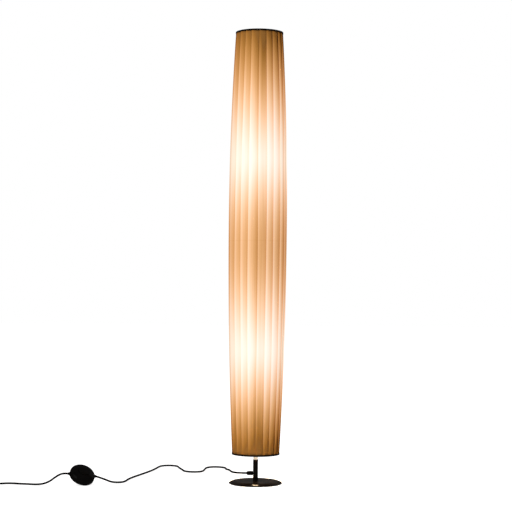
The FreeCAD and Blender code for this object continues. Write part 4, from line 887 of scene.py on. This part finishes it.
outer_dome = crown(BUTTON_RADIUS + 1.0, 0.0, 26)
inner_dome = crown(BUTTON_RADIUS + 1.0, SWITCH_WALL, 26)
switch_dome = turned_piece("switch_dome", np.vstack([
    [(SWITCH_RADIUS - 0.35, SWITCH_SEAM + 0.15), (SWITCH_RADIUS, SWITCH_SEAM + 0.5)], outer_dome,
    [(BUTTON_RADIUS + 0.6, outer_dome[-1, 1] - 0.1),
     (BUTTON_RADIUS + 0.4, outer_dome[-1, 1] - 0.5), (BUTTON_RADIUS + 0.4, inner_dome[-1, 1])],
    inner_dome[::-1], [(SWITCH_RADIUS - SWITCH_WALL, SWITCH_SEAM + 0.15)],
]), "switch_cover", "switch_plastic", lie=switch_lie, turns=128)
switch_cup = turned_piece("switch_cup", softened([
    (0.0001, 0.0), (SWITCH_RADIUS, 0.0), (SWITCH_RADIUS, SWITCH_SEAM),
    (SWITCH_RADIUS - SWITCH_WALL, SWITCH_SEAM), (SWITCH_RADIUS - SWITCH_WALL, SWITCH_WALL),
    (0.0001, SWITCH_WALL),
], (0.00005, 1.2, 0.35, 0.2, 0.5, 0.00005), steps=6), "switch_base", "switch_plastic",
    lie=switch_lie, turns=128)
inwards = np.linspace(1.0, 0.0, 14)
switch_push = turned_piece("switch_push", np.vstack([
    [(0.0001, BUTTON_UNDER), (17.0, BUTTON_UNDER), (17.0, BUTTON_UNDER + 1.0),
     (BUTTON_RADIUS, BUTTON_UNDER + 1.0), (BUTTON_RADIUS, BUTTON_TOP - 1.9),
     (BUTTON_RADIUS - 0.25, BUTTON_TOP - 1.35), (BUTTON_RADIUS - 0.8, BUTTON_TOP - 1.1)],
    np.stack([(BUTTON_RADIUS - 1.4) * inwards + 0.0001,
              BUTTON_TOP - inwards ** 2 - 0.25 * np.exp(-((inwards - 0.8) / 0.05) ** 2)], axis=-1),
]), "switch_button", "switch_plastic", lie=switch_lie, body="switch_button",
    turns=96)
bush = spun(np.vstack([
    [(1.6, 30.5), (3.4, 30.5), (3.4, 33.8), (4.5, 33.9)],
    ringed((4.6, 34.2), (3.5, 38.0), 2, 0.45), [(2.9, 38.5), (1.6, 38.5)],
]), 48)
bush_ways = [switch_lie @ Matrix.Translation((0, 0, SWITCH_SEAM)) @ Matrix.Rotation(turn, 4, "Y")
             for turn in (math.pi / 2, -math.pi / 2)]
switch_bushes = made_piece("switch_bushes", [placed(bush, lie) for lie in bush_ways],
                           "switch_bushings", "switch_plastic")
print("switch:", 2 * SWITCH_RADIUS, "mm across, button", 2 * BUTTON_RADIUS)

# %% [markdown]
# ## Return spring
#
# A small coil spring under the button pushes it back up. Here it is a wire along a helix,
# drawn between the two ends of the construction's spring.

# %% Spring
SPRING_RADIUS = 4.4
SPRING_WIRE = 0.35
SPRING_TURNS = 4.5


def spring_grid(low, high):
    """A round wire along a helix: (R + r cos b) out from the axis, and z + r sin b up it."""
    turn = np.linspace(0.0, 2 * math.pi * SPRING_TURNS, 145)[:, None]
    lean = np.linspace(0.0, 2 * math.pi, 13)[None, :]
    thick = np.full_like(turn, SPRING_WIRE)
    thick[[0, -1]] = 0.0
    out = SPRING_RADIUS + thick * np.cos(lean)
    up = (low + SPRING_WIRE + (high - low - 2 * SPRING_WIRE) * turn / turn[-1]
          + thick * np.sin(lean))
    return np.stack([out * np.cos(turn), out * np.sin(turn), up], axis=-1)


spring_solid = nodes["switch_spring"].data.vertices
spring_height = placed(np.array([corner.co for corner in spring_solid]) / MM,
                       switch_lie.inverted())[:, 2]
spring_ends = float(spring_height.min()), float(spring_height.max())
spring_coil = piece_from_grid("spring_coil", placed(spring_grid(*spring_ends), switch_lie) * MM)
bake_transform(spring_coil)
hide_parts("switch_spring")
wear(spring_coil, FINISHES["screw_steel"])
print("spring:", SPRING_TURNS, "turns between", np.round(spring_ends, 2).tolist())

# %% [markdown]
# ## Plug, strain relief and tie
#
# The plug is a flat moulded body with two round pins. Its section is a superellipse, a box with
# round sides, whose width swells from the cord end and closes over the face. The strain relief is
# a tapered tube with grooves that let it bend. A strap with round corners holds the coil. It is
# woven, so it wears the tape's finish in place of its slot's moulded plastic.

# %% Plug and tie
PLUG_LENGTH = 36.0
PLUG_WIDTH = 35.0
PLUG_THICKNESS = 13.7
PLUG_POWER = 3.4
PLUG_ROUNDING = 2.5
PIN_OFFSET = 9.3
RELIEF_LENGTH = 20.0
TIE_WIDTH = 7.0
tail_end = np.array(COIL_TO_PLUG[-1])
tail_way = tail_end - np.array(COIL_TO_PLUG[-2])
plug_lie = (Matrix.Translation(tail_end.tolist())
            @ Matrix.Rotation(math.atan2(tail_way[1], tail_way[0]), 4, "Z"))
relief_lie = plug_lie @ Matrix.Rotation(math.pi / 2, 4, "Y")


def plug_grid():
    """Rounded sections along the plug: |y / w|^n + |z / t|^n = 1.

    The half width grows from the neck as a quarter sine over the first third, and both halves
    close over each end as a quarter circle.
    """
    along = np.concatenate([np.linspace(0, PLUG_ROUNDING, 7),
                            np.linspace(3.5, PLUG_LENGTH - 3.5, 24),
                            np.linspace(PLUG_LENGTH - PLUG_ROUNDING, PLUG_LENGTH, 7)])
    to_end = np.clip(np.minimum(along, PLUG_LENGTH - along) / PLUG_ROUNDING, 0.0, 1.0)
    drawn = PLUG_ROUNDING * (1 - np.sqrt(1 - (1 - to_end) ** 2))
    swell = np.sin(np.clip(along / 13.0, 0, 1) * math.pi / 2)
    half_width = 6.1 + (PLUG_WIDTH / 2 - 6.1) * swell - drawn
    half_thick = PLUG_THICKNESS / 2 - 0.9 * (1 - swell) - drawn
    turn = np.linspace(0, 2 * math.pi, 73)[None, :]
    across = np.sign(np.cos(turn)) * np.abs(np.cos(turn)) ** (2 / PLUG_POWER)
    up = np.sign(np.sin(turn)) * np.abs(np.sin(turn)) ** (2 / PLUG_POWER)
    points = np.stack(np.broadcast_arrays(RELIEF_LENGTH + along[:, None],
                                          half_width[:, None] * across,
                                          half_thick[:, None] * up), axis=-1)
    middle = points.mean(axis=1, keepdims=True)
    ends = [np.broadcast_to(middle[at], points[:1].shape) for at in (0, -1)]
    return np.concatenate([ends[0], points, ends[1]])


plug_shell = made_piece("plug_shell", [placed(plug_grid(), plug_lie)], "plug_body",
                        "switch_plastic", sharp_angle=50.0)
plug_collar = turned_piece("plug_collar", np.vstack([
    [(1.6, 0.0), (2.9, 0.0)], ringed((3.1, 0.6), (4.6, 18.5), 6, 0.7),
    [(4.9, RELIEF_LENGTH), (1.6, RELIEF_LENGTH)],
]), "plug_relief", "cord_plastic", lie=relief_lie)
pin_outline = softened([(0.0001, 0.0), (2.0, 0.0), (2.0, 19.0), (0.0001, 19.0)],
                       (0.00005, 0.1, 1.3, 0.00005), steps=7)
pin_ways = [relief_lie @ Matrix.Translation((0, side * PIN_OFFSET, RELIEF_LENGTH + PLUG_LENGTH))
            for side in (-1, 1)]
plug_prongs = made_piece("plug_prongs", [placed(spun(pin_outline, 40), lie) for lie in pin_ways],
                         "plug_pins", "bright_metal")


def tie_grid():
    """The strap's bent section in the XZ plane, carried across its width."""
    reach = COIL_RADIUS + 2.8
    inner = COIL_RADIUS - COIL_TURN_STEP * 1.5 - 2.8
    top = 10.8
    outer_path = [(-reach - 1, 0.0), (-reach - 1, top + 1), (-inner + 1, top + 1),
                  (-inner + 1, 0.0), (-inner, 0.0), (-inner, top), (-reach, top), (-reach, 0.0)]
    loop = softened(outer_path, (0.2, 2.6, 2.6, 0.2, 0.2, 1.7, 1.7, 0.2), steps=6)
    loop = np.vstack([loop, loop[:1]])
    across = np.array([-0.5, 0.5]) * TIE_WIDTH
    points = np.stack(np.broadcast_arrays(loop[:, 0][:, None], across[None, :],
                                          loop[:, 1][:, None]), axis=-1)
    return points + np.array([*COIL_MIDDLE, 0.0])


coil_strap = made_piece("coil_strap", [tie_grid()], "coil_tie", "switch_plastic", capped=True)
wear(coil_strap, FINISHES["shade_edging"])
print("plug and strap in place behind", tail_end.tolist())

# %% [markdown]
# ## Bulbs and lampholders
#
# Each bulb is an opal golf-ball globe on an aluminium screw cap. The cap's thread is real shape:
# its radius dips along a helix, which a grid of heights and angles gives in one line. The
# lampholders' skirts have fine grip ribs round them in the same way.

# %% Bulbs and holders
GLOBE_RADIUS = 22.5
GLASS_WALL = 0.8
BULB_LENGTH = 78.0
NECK_RADIUS = 12.6
NECK_SINE = 0.62
HOLDER_BACK = 32.0
CAP_RADIUS = 13.1
CAP_WALL = 0.6
CAP_FOOT = 3.0
CAP_FLARE = 10.0
CAP_HOLE = 4.5
CAP_SIDE = 6.0
CAP_TOP = 25.0
THREAD_RISE = 3.6
THREAD_DEPTH = 0.35
THREAD_SPAN = (6.5, 21.0)
THREAD_FADE = 1.5
SKIRT_RADIUS = 19.5
SKIRT_BORE = 17.5
SKIRT_MOUTH = 15.2
SKIRT_DROP = 12.0
SKIRT_HEIGHT = 38.0
RIB_COUNT = 36
RIB_DEPTH = 0.3
RIB_SPAN = (3.0, 26.0)
RIB_FADE = 2.0


def straight_side(radius, low, high, count):
    """Evenly spaced outline points up a straight side, so that it can be cut into."""
    return np.stack([np.full(count, radius), np.linspace(low, high, count)], axis=-1)


def globe_outline(wall, tip):
    """Neck and globe of the glass at a depth under its outside: a cone that meets a sphere."""
    angle = np.linspace(-math.asin(NECK_SINE), math.pi / 2, 40)
    ball = np.stack([np.cos(angle), np.sin(angle)], axis=-1) * (GLOBE_RADIUS - wall)
    ball += (0.0, tip + BULB_LENGTH - GLOBE_RADIUS)
    return np.vstack([[(NECK_RADIUS - wall, tip + CAP_TOP)], ball])


def cap_outline(tip):
    """The metal cap: a foot ring, a flare, a straight side for the thread and the wall's inside."""
    foot = tip + CAP_FOOT
    inside = CAP_RADIUS - CAP_WALL
    return np.vstack([
        [(CAP_HOLE, foot), (CAP_FLARE, foot), (CAP_RADIUS, tip + CAP_SIDE)],
        straight_side(CAP_RADIUS, tip + CAP_SIDE + 0.5, tip + CAP_TOP - 0.5, 61),
        [(CAP_RADIUS, tip + CAP_TOP), (inside, tip + CAP_TOP),
         (inside, tip + CAP_SIDE + CAP_WALL), (CAP_FLARE - CAP_WALL, foot + CAP_WALL),
         (CAP_HOLE, foot + CAP_WALL)],
    ])


def skirt_outline(low):
    """The lampholder's skirt: a straight side for the ribs, and a lip turned in at the top."""
    top = low + SKIRT_HEIGHT
    return np.vstack([
        [(SKIRT_BORE, low), (SKIRT_RADIUS - 0.3, low), (SKIRT_RADIUS, low + 0.4)],
        straight_side(SKIRT_RADIUS, low + 1.5, top - 2.0, 30),
        [(SKIRT_RADIUS, top - 0.7), (SKIRT_RADIUS - 0.6, top), (SKIRT_MOUTH, top),
         (SKIRT_MOUTH, top - 2.0), (SKIRT_BORE, top - 2.0)],
    ])


def cut_round(grid, straight_radius, count, rise, depth, foot, span, edge):
    """Pull a straight side in by depth (1 - cos(count * angle - 2 pi z / rise)).

    The cut fades to nothing at both ends of its span above the foot, over the edge's width.
    """
    low, high = foot + span[0], foot + span[1]
    away = grid[..., :2] - (0.0, HOLDER_BACK)
    height = grid[..., 2]
    radius = np.linalg.norm(away, axis=-1)
    wave = count * np.arctan2(away[..., 1], away[..., 0]) - 2 * math.pi * height / rise
    fade = np.clip(np.minimum(height - low, high - height) / edge, 0.0, 1.0)
    cut = (radius > straight_radius - 0.1) * depth * (1 - np.cos(wave)) * fade
    moved = grid.copy()
    moved[..., :2] -= away * (cut / np.maximum(radius, 1e-6))[..., None]
    return moved


bulb_axis = Matrix.Translation((0, HOLDER_BACK, 0))
for side, bulb_height in zip(("lower", "upper"), BULB_HEIGHTS):
    tip = bulb_height + GLOBE_RADIUS - BULB_LENGTH
    glass = np.vstack([globe_outline(0.0, tip), globe_outline(GLASS_WALL, tip)[::-1]])
    turned_piece(side + "_globe", glass, side + "_bulb_glass", "opal_glass",
                 lie=bulb_axis, body=side + "_bulb", turns=72)
    cap = cut_round(placed(spun(cap_outline(tip), 72), bulb_axis), CAP_RADIUS, 1, THREAD_RISE,
                    THREAD_DEPTH, tip, THREAD_SPAN, THREAD_FADE)
    made_piece(side + "_screw_cap", [cap], side + "_bulb_cap", "bulb_metal",
               body=side + "_bulb", sharp_angle=60.0)
    low = tip - SKIRT_DROP
    skirt = cut_round(placed(spun(skirt_outline(low), 216), bulb_axis), SKIRT_RADIUS, RIB_COUNT,
                      math.inf, RIB_DEPTH, low, RIB_SPAN, RIB_FADE)
    made_piece(side + "_ribbed_skirt", [skirt], side + "_holder_skirt", "holder_plastic",
               sharp_angle=45.0)
print("bulbs at", BULB_HEIGHTS, "mm in ribbed holders")

# %% [markdown]
# ## The cords
#
# The cords are the two curves made above; this cell only prints a line about them.

print("cords: lamp_cord and plug_cord")
